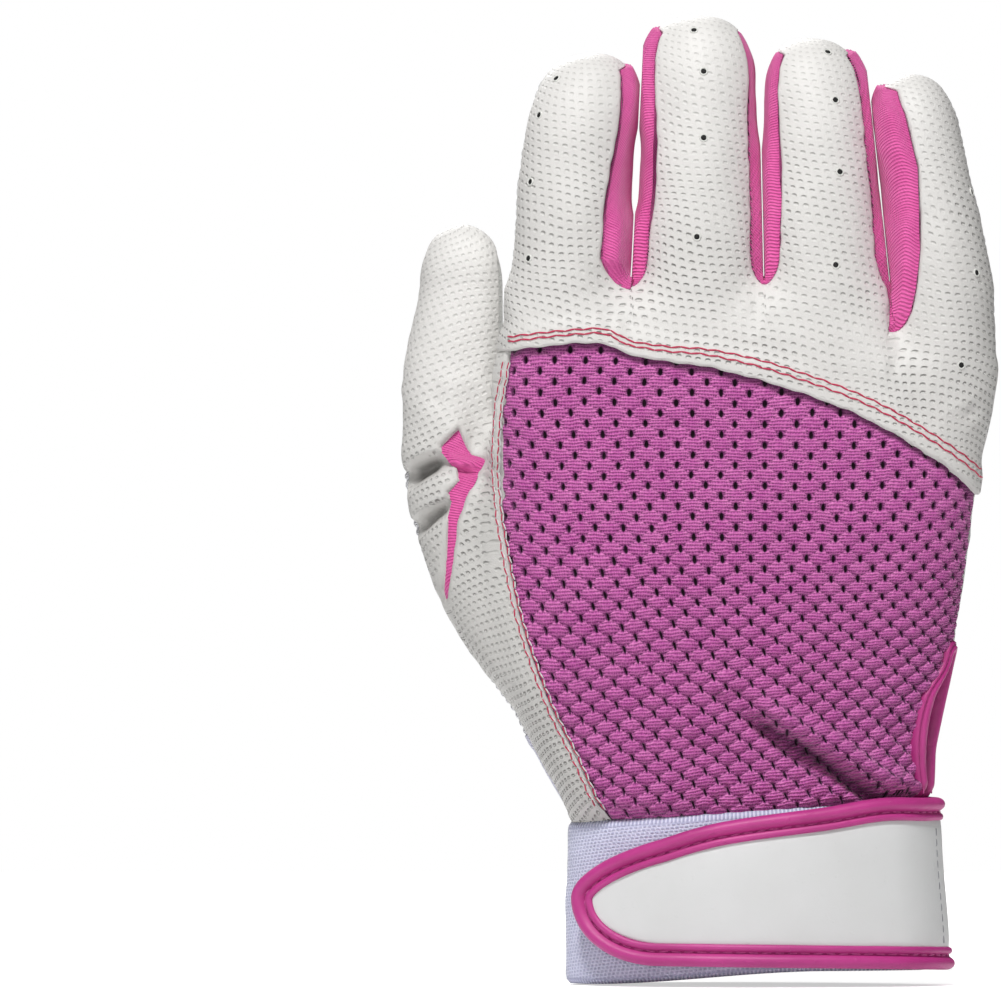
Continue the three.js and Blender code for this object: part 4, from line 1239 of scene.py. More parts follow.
def wall_lift(p, n, edge):
    fill = np.zeros(len(p))
    for order, (name, finger) in enumerate(FINGERS.items()):
        low, high = digit_range(name, p[:, 2])
        own = (p[:, 0] > low) & (p[:, 0] < high)
        cx = finger_section(finger, p[:, 2])[0]
        left = GAP_FILL[max(order - 1, 0)](p[:, 2])
        right = GAP_FILL[min(order, 2)](p[:, 2])
        fill = np.where(own, np.where(p[:, 0] < cx, left, right), fill)
    shape = -WALL_SINK + (WALL_FULL + fill) * smooth_step(edge, 0, 2.4) + WALL_UNEVEN * value_noise(p, 5, 9)
    return held(p, n, shape)


# Panels
RAW_EDGE, RIB_HEIGHT, RIB_SINK = 0.7, 0.5, 0.5


def tips(kind, names):
    return {name: (f"{name}_tip_{kind}",) for name in names}


def cut(sheet, field):
    """The part of a sheet where a field is positive, with a crisp profile along the cut."""
    return clip(score(sheet, field), field)


def outside(field):
    return lambda p: -field(p)


palm_side = clip(cut(master, palm_field), vent_field)
back_side = clip(cut(master, back_field), vent_field)

sheet = cut(palm_side, outside(wrist_field))
edge = np.minimum(palm_field(sheet.p), -wrist_field(sheet.p))
nodes = {"hand": ("palm_panel",), **tips("palm", DIGITS)}
panel("palm", sheet, palm_lift(sheet.p, sheet.n), edge, palm_leather, nodes)

corner = clip(palm_side, wrist_field)
sheet = refine(clip(corner, rib_field))
edge = np.minimum(palm_field(sheet.p), wrist_field(sheet.p))
ribs = RIB_HEIGHT * np.abs(np.sin(np.pi * rib_field(sheet.p) / RIB_PITCH)) ** 0.7
lift = held(sheet.p, sheet.n, turned(edge) - RIB_SINK + ribs)
nodes = {"hand": ("wrist_rib",)}
# The edge value falls in the valleys between ribs, where the knit gets painted shade
panel("elastic_rib", sheet, lift, np.minimum(edge, 2 * ribs), rib_knit, nodes)

sheet = clip(corner, outside(rib_field))
edge = np.minimum(palm_field(sheet.p), wrist_field(sheet.p))
slack = fold(sheet.p, sheet.n, [(-30, 40), (-25, 36), (-22, 33)], 1.8, 0.9, 1)
lift = turned(edge) - 0.2 + slack + 0.35 * (1 - smooth_step(-rib_field(sheet.p), 1.5, 3.5))
lift = held(sheet.p, sheet.n, lift)
panel("wrist_stretch", sheet, lift, edge, spandex, {"hand": ("wrist_gusset",)})

sheet = clip(cut(back_side, hem_field), right_of_web)
edge = np.minimum(back_field(sheet.p), hem_field(sheet.p) + RAW_EDGE)
nodes = {"hand": ("knuckle_panel",), **tips("back", NAMES)}
panel("back", sheet, back_lift(sheet.p, sheet.n), edge, back_leather, nodes)

sheet = cut(cut(back_side, thumb_side_field), outside(gusset_field))
edge = np.minimum(back_field(sheet.p), -gusset_field(sheet.p))
edge = np.minimum(edge, thumb_side_field(sheet.p) + RAW_EDGE)
# The edge value drops in the thumb's pockets, where the leather is darkened as painted shade
edge = np.minimum(edge, 2.5 + 1.3 * folds(sheet.p, sheet.n, THUMB_POCKETS, -1))
nodes = {"hand": ("thumb_panel",), **tips("back", ["thumb"])}
panel("thumb_back", sheet, thumb_lift(sheet.p, sheet.n), edge, thumb_leather, nodes)

sheet = clip(back_side, lambda p: gusset_field(p) + 0.4)
edge = np.maximum(gusset_field(sheet.p), 0)
lift = life(sheet.p) - 0.6 + folds(sheet.p, sheet.n, GUSSET_FOLDS, -1)
panel("thumb_gusset_knit", sheet, lift, edge, pink_knit, {"hand": ("thumb_gusset",)})

sheet = cut(master, wall_field)
edge = wall_field(sheet.p)
lift = wall_lift(sheet.p, sheet.n, edge)
nodes = {"hand": ("index_middle_fourchette", "middle_ring_fourchette", "ring_little_fourchette")}
panel("sidewall", sheet, lift, edge, pink_knit, {**nodes, **tips("fourchette", NAMES)})

# The mesh of the back: diamond cells with a hole in each, laid out along the surface
MESH_LOW, MESH_HIGH, ROW_STEP, COLUMN_STEP = 24, 128, 2.0, 0.5
MESH_MIDDLE, MESH_COUNT, MESH_REACH, MESH_UNDER = 75, 28, 70, 2.5
HOLE_HALF_WIDTH, HOLE_HALF_HEIGHT = 0.34, 0.72
MESH_SWAY, MESH_SQUEEZE, MESH_NARROW, MESH_WIDEN, MESH_TILT = 0.3, 0.95, 0.84, 0.26, 0.11
HOLE_PULL_ACROSS, HOLE_PULL_UP = 0.45, 0.4
LOBE_LEAST, LOBE_MORE = 0.2, 0.72
HOLE_SINK, MESH_SINK, STRIP_SINK, BACKING_SINK = 0.3, 0.25, 0.9, 1.3
FAR_FROM_EDGE = 5.0


def back_layout():
    """A table that turns a length across the back and a height into the surface's x."""
    heights = np.arange(MESH_LOW, MESH_HIGH, ROW_STEP)
    lengths = np.arange(-MESH_REACH, MESH_REACH, COLUMN_STEP)
    sweep = np.sin(np.linspace(-1, 1, 161) * 1.55)
    rows = []
    for z in heights:
        left, right = hand_left(z), hand_right(z)
        x = (left + right) / 2 + (right - left) / 2 * 0.999 * sweep
        p, _ = on_side(x, np.full_like(x, z), -1)
        run = lengths_along(p[:, :2])
        rows.append(np.interp(lengths, run - np.interp(0, x, run), x))
    return heights, lengths, np.array(rows)


def mesh_cells():
    """Flat points and triangles of the mesh.
    Each point has its height on its lobe, its nearness to a hole and its place from it."""
    half = np.array([MESH_ACROSS / 2, MESH_UP / 2])
    numbers = np.arange(-MESH_COUNT, MESH_COUNT + 1)
    i, j = np.meshgrid(numbers, numbers, indexing="ij")
    even = (i + j) % 2 == 0
    centres = np.stack([i[even], j[even]], 1)
    turn = np.radians(np.add.outer(np.arange(4) * 90, [0, 22, 40, 50, 68]).ravel())
    way = np.stack([np.cos(turn), np.sin(turn)], 1)
    hole = way * np.array([HOLE_HALF_WIDTH, HOLE_HALF_HEIGHT]) / half
    diamond = way / np.abs(way).sum(1, keepdims=True)
    shares = np.array([0, 0.2, 0.45, 0.72, 1.0])
    rings = (hole[None] + shares[:, None, None] * (diamond - hole)[None]).reshape(-1, 2)
    sideways = np.abs(rings[:, 0]) > np.abs(rings[:, 1])
    from_lobe = rings - np.where(sideways[:, None], [1, 0], [0, 1]) * np.sign(rings)
    a, b = np.abs(from_lobe[:, 0]), from_lobe[:, 1]
    swell = 0.1 + 0.9 * smooth_step(b, -0.9, 0.25) - 0.35 * smooth_step(b, 0.4, 1)
    scale = (1 - np.minimum(a, 1) ** 1.6) * swell
    points = (centres[:, None, :] + rings[None]).reshape(-1, 2) * half
    quads = grid_faces(len(shares), len(turn))
    quads = (np.arange(len(centres))[:, None, None] * len(rings) + quads[None]).reshape(-1, 4)
    keys = np.round(points * 200).astype(np.int64)
    _, first, index = np.unique(keys[:, 0] * 10**6 + keys[:, 1], return_index=True, return_inverse=True)
    quads = index.reshape(-1)[quads]
    triangles = np.concatenate([quads[:, [0, 2, 1]], quads[:, [0, 3, 2]]])
    on_ring = first % len(rings)
    near = np.repeat(1 - shares, len(turn))
    return points[first], triangles, scale[on_ring], near[on_ring], (rings * half)[on_ring]


def mesh_field(p):
    """Positive where the mesh lies, a little way under the leather round it."""
    under = np.minimum(MESH_UNDER - hem_field(p), MESH_UNDER + thumb_seam_field(p))
    return np.minimum(np.minimum(under, cuff_field(p)), vent_field(p))


def mesh_drape(p, n):
    return life(p, 0.8) + folds(p, n, MESH_FOLDS, -1)


flat, triangles, scale, near, offset = mesh_cells()
heights, lengths, table = back_layout()
spots = np.column_stack([flat, np.zeros(len(flat))])
loose = flat + MESH_SWAY * np.stack([value_noise(spots, 9, 41), value_noise(spots, 9, 42)], 1)
pulled = 1 - smooth_step(loose[:, 1], -25, 12)
loose[:, 0] -= pulled * near * (HOLE_PULL_ACROSS * offset[:, 0] + HOLE_PULL_UP * offset[:, 1])
z = MESH_MIDDLE + MESH_SQUEEZE * loose[:, 1]
u = loose[:, 0] * (MESH_NARROW + MESH_WIDEN * smooth_step(z, 30, 112))
z = z + MESH_TILT * u * (1 - smooth_step(z, 38, 88))
row = np.clip((z - heights[0]) / ROW_STEP, 0, len(heights) - 1.001)
column = np.clip((u - lengths[0]) / COLUMN_STEP, 0, len(lengths) - 1.001)
r, c = row.astype(int), column.astype(int)
across, above = (table[k, c] + (table[k, c + 1] - table[k, c]) * (column - c) for k in (r, r + 1))
x = across + (above - across) * (row - r)
reach = np.abs(np.gradient(table, axis=1))[r, c] > 1e-3
p, n = on_side(x, np.clip(z, MESH_LOW, MESH_HIGH - 2), -1)
fullness = LOBE_LEAST + LOBE_MORE * (1 - smooth_step(z, 42, 98))
lift = fullness * (scale - 0.5) - HOLE_SINK * near**3 - MESH_SINK
under_strip = smooth_step(-thumb_seam_field(p), -0.4, 1.0)
lift = held(p, n, lift + mesh_drape(p, n)) - STRIP_SINK * under_strip
sheet = Sheet(p, triangles, n, np.column_stack([lift, 1 - near**2, flat]))
sheet = sheet.keep(((z > MESH_LOW + 1) & (z < MESH_HIGH - 3) & reach)[sheet.t].all(1))
sheet = clip(sheet, mesh_field)
lift, tall, pattern = sheet.x[:, 0], sheet.x[:, 1], sheet.x[:, 2:]
# The edge value darkens the mesh as painted shadow under the hem and the strip by the thumb seam, and in the
# crease of the big fold
edge = np.minimum(-hem_field(sheet.p), thumb_seam_field(sheet.p) + 0.6)
edge = np.minimum(edge, 2.6 + 0.5 * folds(sheet.p, sheet.n, MESH_FOLDS[:1], -1))
nodes = {"hand": ("back_mesh",)}
# The height value falls towards each hole, where the mesh is darkened as painted shade
panel("mesh", sheet, lift, edge, orchid_mesh, nodes, 0.5, pattern, {"height": tall})
# The dark sheet under the mesh paints the shade seen through its holes and at its seams
sheet = clip(clip(back_side, mesh_field), lambda p: back_field(p) - 0.3)
lift = held(sheet.p, sheet.n, mesh_drape(sheet.p, sheet.n) - BACKING_SINK)
edge = np.full(len(sheet.p), FAR_FROM_EDGE)
panel("mesh_inside", sheet, lift, edge, mesh_shade_sheet, {}, depth=0.2)

# The inside of the glove, which sinks below the deep folds
LINING_SINK, LINING_CLEARANCE = 5, 0.9
sheet = cut_at_bends(clip(surface_net(LINING_STEP, LINING_INSET), cuff_field))
deep = [spline(line, 14) for line, *_ in MESH_FOLDS[:1] + THUMB_POCKETS]
away = np.min([np.abs(line_field(sheet.p, line)) for line in deep], 0)
sunk = -LINING_SINK * (1 - smooth_step(away, 3, 9)) * smooth_step(-sheet.n[:, 1], -0.2, 0.3)
sheet.x = np.minimum(sunk, cuff_room(sheet.p) - LINING_CLEARANCE)[:, None]
sheet = clip(sheet, lambda p: slit_distance(p) - VENT_EDGE)
edge = np.full(len(sheet.p), FAR_FROM_EDGE)
panel("inside", sheet, sheet.x[:, 0], edge, suede, {}, depth=0.1)

# The vent's binding, a rolled tape round the slit with a sewn groove
TAPE_RISE, TAPE_SINK, GROOVE_DEPTH, GROOVE_WIDTH = 1.6, 0.5, 0.5, 0.09
sheet = refine(clip(master, lambda p: VENT_ROLL + 3 - slit_distance(p)))
sheet = clip(sheet, lambda p: slit_distance(p) - VENT_EDGE)
sheet = clip(sheet, lambda p: VENT_ROLL + VENT_EDGE - slit_distance(p))
share = np.clip((slit_distance(sheet.p) - VENT_EDGE) / VENT_ROLL, 0, 1)
roll = TAPE_RISE * np.sqrt(np.maximum(1 - np.abs(2 * share - 1) ** 2.6, 0)) - TAPE_SINK
groove = GROOVE_DEPTH * np.exp(-(((share - VENT_GROOVE) / GROOVE_WIDTH) ** 2))
lift = held(sheet.p, sheet.n, roll - groove + 0.15 * value_noise(sheet.p, 4, 3))
# The edge value is low at the tape's sides and in its groove, which the coat darkens as painted shade
edge = np.minimum(VENT_ROLL * np.minimum(share, 1 - share), 6 * np.abs(share - VENT_GROOVE))
nodes = {"hand": ("vent_binding",)}
panel("vent_tape", sheet, lift, edge, binding_coat, nodes, depth=1.4)

# Sewing threads and air holes
BEAD = bead()


def sew(name, path, normals, material, slot, pitch, length, thick, slant=0.0, body=None):
    """A row of stitches along a path on the surface."""
    centres, along, up = even_steps(path, pitch, normals)
    up = unit(up)
    side = unit(np.cross(up, along))
    along = unit(along + slant * side * np.where(np.arange(len(up)) % 2, 1, -1)[:, None])
    scatter(name, BEAD, centres, along, up, (length / 2, thick / 2, thick * 0.42), material, body)


def offset_line(line, distance):
    """A line in plan, set off to its left."""
    ahead = unit(np.gradient(line, axis=0))
    return line + distance * np.stack([-ahead[:, 1], ahead[:, 0]], 1)


def sew_plan(name, line, side, lift, material, slot, above, **stitch):
    """A row of stitches over a line in plan, on the back (side -1) or the palm side (side 1)."""
    p, n = on_side(line[:, 0], line[:, 1], side)
    sew(name, p + n * (lift(p, n) + above)[:, None], n, material, slot, **stitch)


hem = LINES["hem"]
nearer = 0.68 + 0.32 * smooth_step(hem[:, :1], -24, 4)
for order, distance in enumerate((2.3, 3.5)):
    line = hem + (offset_line(hem, distance) - hem) * nearer
    line = line[(line[:, 0] > -45) & (line[:, 0] < 43)]
    sew_plan(f"hem_stitch_{order}", line, -1, back_lift, crimson_thread, "magenta_binding", 0.06,
             pitch=1.7, length=1.95, thick=0.34, slant=0.16)

thumb_threads = ((0, crimson_thread, "magenta_binding"), (0.25, white_thread, "white_leather"))
for order, distance in enumerate((0.45, -0.45)):
    line = offset_line(LINES["thumb"], distance)
    line = line[(line[:, 1] < 116) & (line[:, 1] > cuff_top(line[:, 0]) + 2.2)]
    for shift, material, slot in thumb_threads:
        sew_plan(f"thumb_{slot}_{order}", offset_line(line, shift), -1, thumb_lift, material, slot, 0.06,
                 pitch=1.6, length=1.5, thick=0.3, slant=0.22)

z = np.linspace(cuff_top(CUFF_WIDTH / 2) + 1, VENT_SLIT_END, 40)
groove = VENT_EDGE + VENT_GROOVE * VENT_ROLL
for order, away in enumerate((-slit_gape(z) - groove, groove)):
    p, n = onto_form(np.stack([hand_right(z) - 1, slit_depth(z) + away, z], 1), 6)
    sew(f"vent_stitch_{order}", p + 0.45 * n, n, rose_thread, "magenta_binding",
        pitch=1.8, length=1.4, thick=0.36, slant=0.1)

line = offset_line(LINES["wrist"], 0.9)
line = line[(line[:, 1] > cuff_top(line[:, 0]) + 0.8) & (line[:, 1] < 68)]
sew_plan("wrist_stitch", line, 1, palm_lift, grey_thread, "white_leather", 0.03,
         pitch=2.0, length=1.5, thick=0.3, slant=0.12)
for order, distance in enumerate((-1.0, -2.3)):
    line = offset_line(spline(SEAM_LINES["rib"], 40), distance)
    line = line[(line[:, 0] > -39) & (line[:, 0] < -29.5)]
    sew_plan(f"rib_stitch_{order}", line, 1, lambda p, n: np.zeros(len(p)), grey_thread,
             "lavender_elastic", 0.2, pitch=1.5, length=0.9, thick=0.34, slant=0.12)


def front_edge(finger, away):
    """The line along the edge of a finger's palm leather, up one side, over the tip and down the other."""
    halves = []
    for side in (-1, 1):
        z = np.linspace(finger["crotch"] + 2, finger["tip"] - 4, 120)
        cx, cy, half_width, half_depth = finger_section(finger, z)
        _, begin = turn_limits(z, finger, np.full_like(z, side))
        turn = begin + away / np.sqrt(half_width * half_depth)
        p = np.stack([cx + side * half_width * np.sin(turn), cy - half_depth * np.cos(turn), z], 1)
        halves.append(p[turn < np.pi - 0.05])
    return np.concatenate([halves[0], halves[1][::-1]])


for name, finger in FINGERS.items():
    p, n = onto_form(front_edge(finger, 1.5), 4)
    path = p + n * (palm_lift(p, n) + 0.03)[:, None]
    sew(f"{name}_front_stitch", path, n, white_thread, "white_leather", pitch=1.9, length=1.4, thick=0.3)

HOLE_SIZE, RIM_SIZE, HOLE_RIM = (0.55, 0.55, 0.16), (0.66, 0.66, 0.66), ring(0.26)
BACK_HOLES = [
    (-36.3, 168.5), (-39.1, 161.3), (-40.5, 148.8), (-41.5, 134.7), (-10.4, 177.0), (-8.7, 169.3),
    (-8.7, 157.0), (-10.0, 138.6), (14.5, 173.2), (15.8, 164.1), (16.6, 150.7), (15.8, 133.4),
    (41.0, 147.0), (41.7, 131.9), (39.1, 114.8),
]
PALM_HOLES = [
    (31.2, 145.6), (33.7, 135.4), (33.1, 125.2), (34.4, 112.5), (10.2, 156.6), (12.5, 150.3),
    (12.3, 130.8), (11.7, 118.7), (-9.5, 145.5), (-8.4, 136.3), (-8.7, 122.4), (-32.7, 153.8),
    (-31.2, 138.4), (-30.5, 126.9),
]
for name, holes, side, lift in (("back", BACK_HOLES, -1, back_lift), ("palm", PALM_HOLES, 1, palm_lift)):
    p, n = on_side(*np.array(holes).T, side)
    along = unit(np.cross(n, np.tile([0.0, 1.0, 0.3], (len(n), 1))))
    centres = p + n * lift(p, n)[:, None]
    # Each air hole is a dark bead, painted shade, under a leather rim
    scatter(f"{name}_hole", BEAD, centres, along, n, HOLE_SIZE, hole_shade)
    centres = centres + 0.02 * n
    scatter(f"{name}_hole_rim", HOLE_RIM, centres, along, n, RIM_SIZE, rim_leather)

# Cuff and strap, as sheets wrapped round the wrist
CUFF_ANGLES = np.linspace(0, 2 * np.pi, 721)
CUFF_OUTLINE = np.stack([CUFF_WIDTH / 2 * np.cos(CUFF_ANGLES), -CUFF_DEPTH / 2 * np.sin(CUFF_ANGLES)], 1)
CUFF_RUN = lengths_along(CUFF_OUTLINE)
GIRTH = CUFF_RUN[-1]
PINCH = 0.02


def wrap(along, z, stand_off):
    """Points at lengths along the cuff, at heights z, standing off its outside."""
    along, z, stand_off = np.broadcast_arrays(along, z, stand_off)
    angle = np.interp(np.mod(along, GIRTH), CUFF_RUN, CUFF_ANGLES)
    way = np.stack([np.cos(angle) / CUFF_WIDTH, -np.sin(angle) / CUFF_DEPTH], -1)
    way /= np.linalg.norm(way, axis=-1)[..., None]
    x = CUFF_WIDTH / 2 * np.cos(angle) + way[..., 0] * stand_off
    y = -CUFF_DEPTH / 2 * np.sin(angle) + way[..., 1] * stand_off
    flare = CUFF_FLARE * smooth_step(CUFF_FLARE_TOP - z, 0, CUFF_FLARE_TOP)
    return np.stack([x + flare * smooth_step(x, 0, CUFF_WIDTH / 2), y, z], -1)


def sew_wrapped(name, along, z, stand_off, material, slot, body, level=0.0, **stitch):
    """A row of stitches on the cuff or the strap, which face outwards as the wrap does at a level."""
    outward = unit(wrap(along, z, level + 1) - wrap(along, z, level))
    sew(name, wrap(along, z, stand_off), outward, material, slot, body=body, **stitch)


def pinched(rows):
    """A grid with one more row at each end, drawn in almost to a point."""
    ends = rows[[0, -1]]
    middle = ends.mean(1, keepdims=True)
    ends = middle + PINCH * (ends - middle)
    return np.concatenate([ends[:1], rows, ends[1:]])


def wrapped_ring(name, along, heights, stand_off, material, body, nodes, edge):
    """A closed band: at each length along the cuff a ring of heights and stand-offs, shut at both ends."""
    along = np.broadcast_to(along[:, None], heights.shape)
    along, edge = (np.pad(grid, ((1, 1), (0, 0)), mode="edge") for grid in (along, edge))
    heights, stand_off = pinched(heights), pinched(stand_off)
    points = wrap(along, heights, stand_off).reshape(-1, 3)
    pattern = np.stack([along.ravel(), heights.ravel()], 1)
    faces = grid_faces(*heights.shape)[:, ::-1]
    made = make_mesh(name, points, faces, material, pattern, None, {"edge": edge.ravel()})
    settle(made, body, nodes)


def band_profile(count, thick):
    """Round a flat band's section, up the outside and down the inside: shares of height, and stand-offs."""
    up = np.linspace(0, 1, count)
    bow = np.sqrt(np.maximum(1 - (2 * up - 1) ** 10, 0))
    share = np.concatenate([up, up[::-1][1:-1]])
    off = np.concatenate([thick / 2 * bow, -thick / 2 * bow[::-1][1:-1]])
    return share, off


def cuff_slack(p):
    """How far the elastic stands out of true round the wrist."""
    return 0.1 + 0.3 * value_noise(p, 13, 21) + 0.15 * value_noise(p, 5, 22)


def cuff_bottom(p):
    """The height of the cuff's lower edge, which rises to the little-finger side, most on the palm side."""
    on_back = smooth_step(-p[:, 1], -4, 8)
    return (4.2 - 1.6 * on_back) * smooth_step(p[:, 0], -32, 14 + 22 * (1 - on_back))


along = np.linspace(CUFF_SLIT_START + CUFF_SLIT_WIDTH, GIRTH + CUFF_SLIT_START, 340)
share, off = band_profile(40, CUFF_WALL)
edge_at = wrap(along, 0.0, 0.0)
bottom = cuff_bottom(edge_at)
top = cuff_top(edge_at[:, 0]) + 0.5
heights = bottom[:, None] + share[None] * (top - bottom)[:, None]
spots = wrap(along[:, None], heights, 0.0).reshape(-1, 3)
stand_off = off[None] - CUFF_WALL / 2 + cuff_slack(spots).reshape(heights.shape)
edge = np.minimum(heights - bottom[:, None] + 0.6, top[:, None] - heights + 0.2)
nodes = ("cuff_band",)
wrapped_ring("cuff", along, heights, stand_off, cuff_elastic, "hand", nodes, edge)

ZIGZAG_HEIGHT, ZIGZAG_SWING, ZIGZAG_PITCH, ZIGZAG_MARGIN = 19.4, 1.6, 4.75, 6
zigzag_along = np.arange(GIRTH / 2 + ZIGZAG_MARGIN, GIRTH - ZIGZAG_MARGIN, ZIGZAG_PITCH)
zigzag_z = ZIGZAG_HEIGHT + ZIGZAG_SWING * np.where(np.arange(len(zigzag_along)) % 2, 1, -1)
along, z = even_steps(np.stack([zigzag_along, zigzag_z], 1), 0.2)[0].T
stand_off = 0.05 + cuff_slack(wrap(along, z, 0.0))
sew_wrapped("cuff_zigzag", along, z, stand_off, grey_thread, "lavender_elastic", "hand",
            pitch=1.6, length=1.25, thick=0.34)

# Layers of the strap outwards from the cuff, each from one stand-off to another
LOOP, HOOK, LINING, FACE = (0.3, 1.1), (1.4, 2.2), (2.5, 3.2), (3.5, 4.4)
FACE_MARGIN, FACE_CROWN, LINING_MARGIN = 3.4, 0.4, 1.0
ROOT_LEVEL, ROOT_SINK, ROOT_STITCH_AT = 0.15, 2.6, 5.5
strap_bow = through([0, 8, 18, 28, 43, 57], [0.6, 1.4, 2.5, 1.9, 1.3, 0])
strap_sag = through([0, 12, 28, 57], [1.2, 0.8, 0.4, 0])


def nose(along, margin, rounding):
    """How much of its height the strap still has, near its rounded end."""
    end = STRAP_LENGTH - margin
    share = np.clip((along - (end - rounding)) / rounding, 0, 1)
    return np.sqrt(1 - share * share)


def strap_upper(along, margin):
    slope = STRAP_ROOT_TOP + (STRAP_END_TOP - STRAP_ROOT_TOP) * along / STRAP_LENGTH
    rise = slope + strap_bow(along) - margin - STRAP_NOSE_HEIGHT
    return STRAP_NOSE_HEIGHT + rise * nose(along, margin, STRAP_NOSE_UPPER)


def strap_lower(along, margin):
    drop = STRAP_NOSE_HEIGHT - STRAP_LOWER_EDGE + strap_sag(along) - margin
    return STRAP_NOSE_HEIGHT - drop * nose(along, margin, STRAP_NOSE_LOWER)


def settled(along, stand_off):
    """Stand-offs of the strap: sunk into the cuff at its sewn root, then out over the hook and loop."""
    sunk = (ROOT_LEVEL - LINING[0]) * (1 - smooth_step(along, 3, 16))
    return stand_off + sunk - ROOT_SINK * (1 - smooth_step(along, STRAP_START, 3.5))


def strap_runs(start, end, steps=120):
    """Lengths along the strap, closer together towards its end."""
    straight = STRAP_LENGTH - STRAP_NOSE_UPPER
    rounded = straight + (end - straight) * np.sin(np.linspace(0, np.pi / 2, 50))
    return np.concatenate([np.linspace(start, straight, steps)[:-1], rounded])


def strap_layer(name, layer, margin, start, material, body, node, crown=0.0):
    """A sheet of the strap, inside its edge by a margin."""
    along = strap_runs(start, STRAP_LENGTH - margin - 0.05)
    share, off = band_profile(26, layer[1] - layer[0])
    low, high = strap_lower(along, margin)[:, None], strap_upper(along, margin)[:, None]
    heights = low + share[None] * (high - low)
    to_end = smooth_step(STRAP_LENGTH - margin - along, 0, 16)[:, None]
    swell = crown * (1 - (2 * share - 1) ** 2)[None] * to_end
    stand_off = settled(along[:, None], sum(layer) / 2 + off[None] + swell)
    # Near the sheet's edges, under the binding, the coat and the knit darken it as painted shade
    edge = np.minimum(heights - low, high - heights)
    wrapped_ring(name, along, heights, stand_off, material, body, (node,), edge)


patch_margin = BINDING_WIDTH + PATCH_MARGIN
patch_end = STRAP_LENGTH - patch_margin
sheet_start = STRAP_START + 0.3
strap_layer("loop_tape", LOOP, patch_margin, patch_end - LOOP_LENGTH, loop_pile, "hand",
            "loop_patch")
strap_layer("hook_tape", HOOK, patch_margin, patch_end - HOOK_LENGTH, hook_pile, "strap",
            "strap_hook_patch")
strap_layer("strap_back", LINING, LINING_MARGIN, sheet_start, lining_cloth, "strap",
            "strap_lining")
strap_layer("strap_front", FACE, FACE_MARGIN, sheet_start, strap_coat, "strap",
            "strap_face", FACE_CROWN)

# The strap's binding: inwards from the edge a fat roll, a sewn groove and a flat flange, front and back
BINDING_MIDDLE, GROOVE_IN, BINDING_STEP = 3.45, 2.75, 0.8
roll = [(1.3 - 1.3 * math.cos(a), BINDING_MIDDLE + 1.85 * math.sin(a)) for a in np.linspace(-1.57, 2.5, 14)]
front = [
    (2.6, 4.2), (GROOVE_IN, 3.95), (2.9, 4.2), (3.1, 4.75), (3.6, 4.95), (4.1, 4.8), (4.3, 4.3), (3.7, 3.9),
]
back = [(2.2, 3.4), (3.4, 2.3), (3.9, 1.9), (3.4, 1.6), (2.2, 1.6)]
inset, off = np.array(roll + front + back).T
runs = strap_runs(STRAP_START, STRAP_LENGTH, 80)
upper, lower = (np.stack([runs, side(runs, 0)], 1) for side in (strap_upper, strap_lower))
outline, ahead, _ = even_steps(np.concatenate([upper, lower[::-1][1:]]), BINDING_STEP)
for _ in range(4):
    ahead[1:-1] = unit(ahead[:-2] + 2 * ahead[1:-1] + ahead[2:])
inward = np.stack([ahead[:, 1], -ahead[:, 0]], 1)
puffed = 1 + 0.06 * value_noise(np.column_stack([outline, np.zeros(len(outline))]), 6, 31)
along, heights = (outline[:, k, None] + inward[:, k, None] * inset[None] for k in (0, 1))
stand_off = settled(along, BINDING_MIDDLE + (off[None] - BINDING_MIDDLE) * puffed[:, None])
points = pinched(wrap(along, heights, stand_off))
rows, columns = points.shape[:2]
# The edge value is low in the sewn groove, which the coat darkens as painted shade
edge = np.tile(np.abs(inset - GROOVE_IN) * 2.2 + np.where(off > 3.93, 0, 2), rows)
across, round_it = np.repeat(np.arange(rows) * BINDING_STEP, columns), np.tile(np.arange(columns) + 1, rows)
pattern = np.stack([across, round_it], 1)
faces = grid_faces(rows, columns)
made = make_mesh("strap_edge", points.reshape(-1, 3), faces, binding_coat, pattern, None, {"edge": edge})
settle(made, "strap", ("strap_binding",))

along, z = (outline + GROOVE_IN * inward).T
sew_wrapped("strap_stitch", along, z, settled(along, 4.15), rose_thread, "magenta_binding", "strap",
            level=4.0, pitch=2.4, length=1.8, thick=0.44, slant=0.1)
share = np.linspace(0.05, 0.95, 60)
along = np.full(len(share), ROOT_STITCH_AT)
z = strap_lower(along, FACE_MARGIN) * (1 - share) + strap_upper(along, FACE_MARGIN) * share
stand_off = settled(along, FACE[1] + FACE_CROWN * (1 - (2 * share - 1) ** 2))
sew_wrapped("root_stitch", along, z, stand_off, grey_thread, "white_strap", "strap",
            pitch=2.0, length=1.5, thick=0.3)


# Studio: pale floor, white backdrop, soft light and the picture's view
def white_to_camera(name, own_light):
    """A pale surface that keeps shadows and reads as white paper to the camera."""
    s = Shader(name)
    seen = s.node("ShaderNodeLightPath", output="Is Camera Ray")
    for kind in ("Is Glossy Ray", "Is Transmission Ray"):
        seen = s.math("MAXIMUM", seen, s.node("ShaderNodeLightPath", output=kind))
    return s.finish((236, 236, 236), 0.9, specular=0.1, glow=(255, 255, 255), glow_strength=seen * own_light)


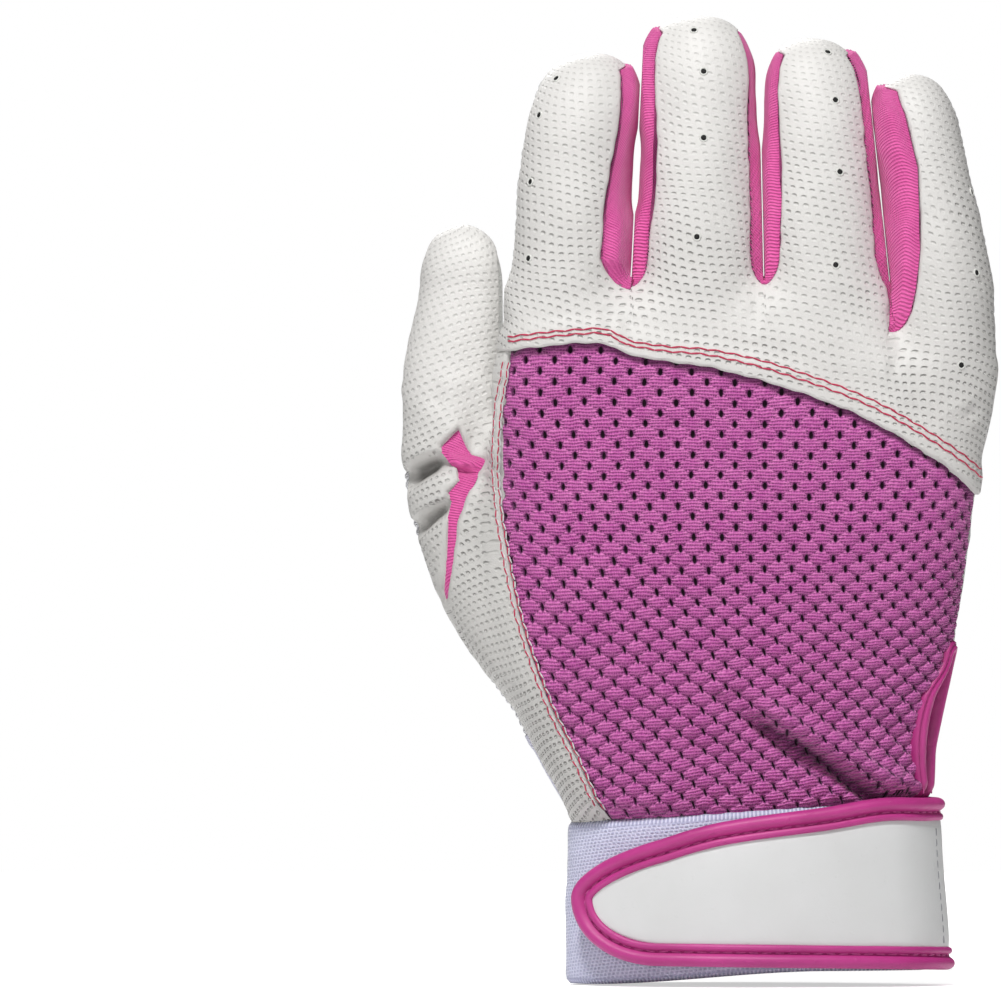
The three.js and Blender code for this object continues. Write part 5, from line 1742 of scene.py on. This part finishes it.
FLOOR_REACH, FLOOR_LEVEL = 900, -0.3
corners = FLOOR_REACH * np.array([(-1, -1, 0), (1, -1, 0), (1, 1, 0), (-1, 1, 0)]) + (0, 0, FLOOR_LEVEL)
floor = make_mesh("floor", corners, np.array([[0, 1, 2, 3]]), white_to_camera("floor_paper", 0.55))
GLOVE_MIDDLE = Vector((0, 0, 0.09))


def area_light(name, place, size, power):
    data = bpy.data.lights.new(name, "AREA")
    data.shape, data.size, data.energy = "DISK", size, power
    made = bpy.data.objects.new(name, data)
    made.location = place
    made.rotation_mode = "QUATERNION"
    made.rotation_quaternion = (GLOVE_MIDDLE - Vector(place)).to_track_quat("-Z", "Y")
    bpy.context.scene.collection.objects.link(made)


area_light("key", (-0.2, -0.75, 1.3), size=0.34, power=19)
area_light("fill", (-0.05, -1.4, 0.3), size=0.7, power=2.5)
area_light("behind", (-0.3, 1.2, 0.9), size=0.7, power=13)

# The world lights the glove a little and is white to the camera
WORLD_LIGHT = 0.12
world = bpy.data.worlds.new("studio")
world.use_nodes = True
background = world.node_tree.nodes["Background"]
rays = world.node_tree.nodes.new("ShaderNodeLightPath")
seen = world.node_tree.nodes.new("ShaderNodeMath")
seen.operation = "MULTIPLY_ADD"
seen.inputs[1].default_value = 1 - WORLD_LIGHT
seen.inputs[2].default_value = WORLD_LIGHT
world.node_tree.links.new(rays.outputs["Is Camera Ray"], seen.inputs[0])
world.node_tree.links.new(seen.outputs[0], background.inputs["Strength"])
background.inputs["Color"].default_value = (1, 1, 1, 1)
bpy.context.scene.world = world

PICTURE_SCALE, PICTURE_SIZE = 0.186, 1001
CAMERA_AWAY, SENSOR_WIDTH = 3000, 36
camera_data = bpy.data.cameras.new("camera")
camera_data.sensor_width = SENSOR_WIDTH
camera_data.lens = SENSOR_WIDTH * CAMERA_AWAY / (PICTURE_SIZE * PICTURE_SCALE)
camera_data.clip_start, camera_data.clip_end = 0.1, 20
camera = bpy.data.objects.new("camera", camera_data)
camera.location = (-0.0464, -0.001 * CAMERA_AWAY, 0.0897)
camera.rotation_euler = (math.pi / 2, 0, 0)
bpy.context.scene.collection.objects.link(camera)
bpy.context.scene.camera = camera
bpy.context.scene.view_settings.view_transform = "Standard"
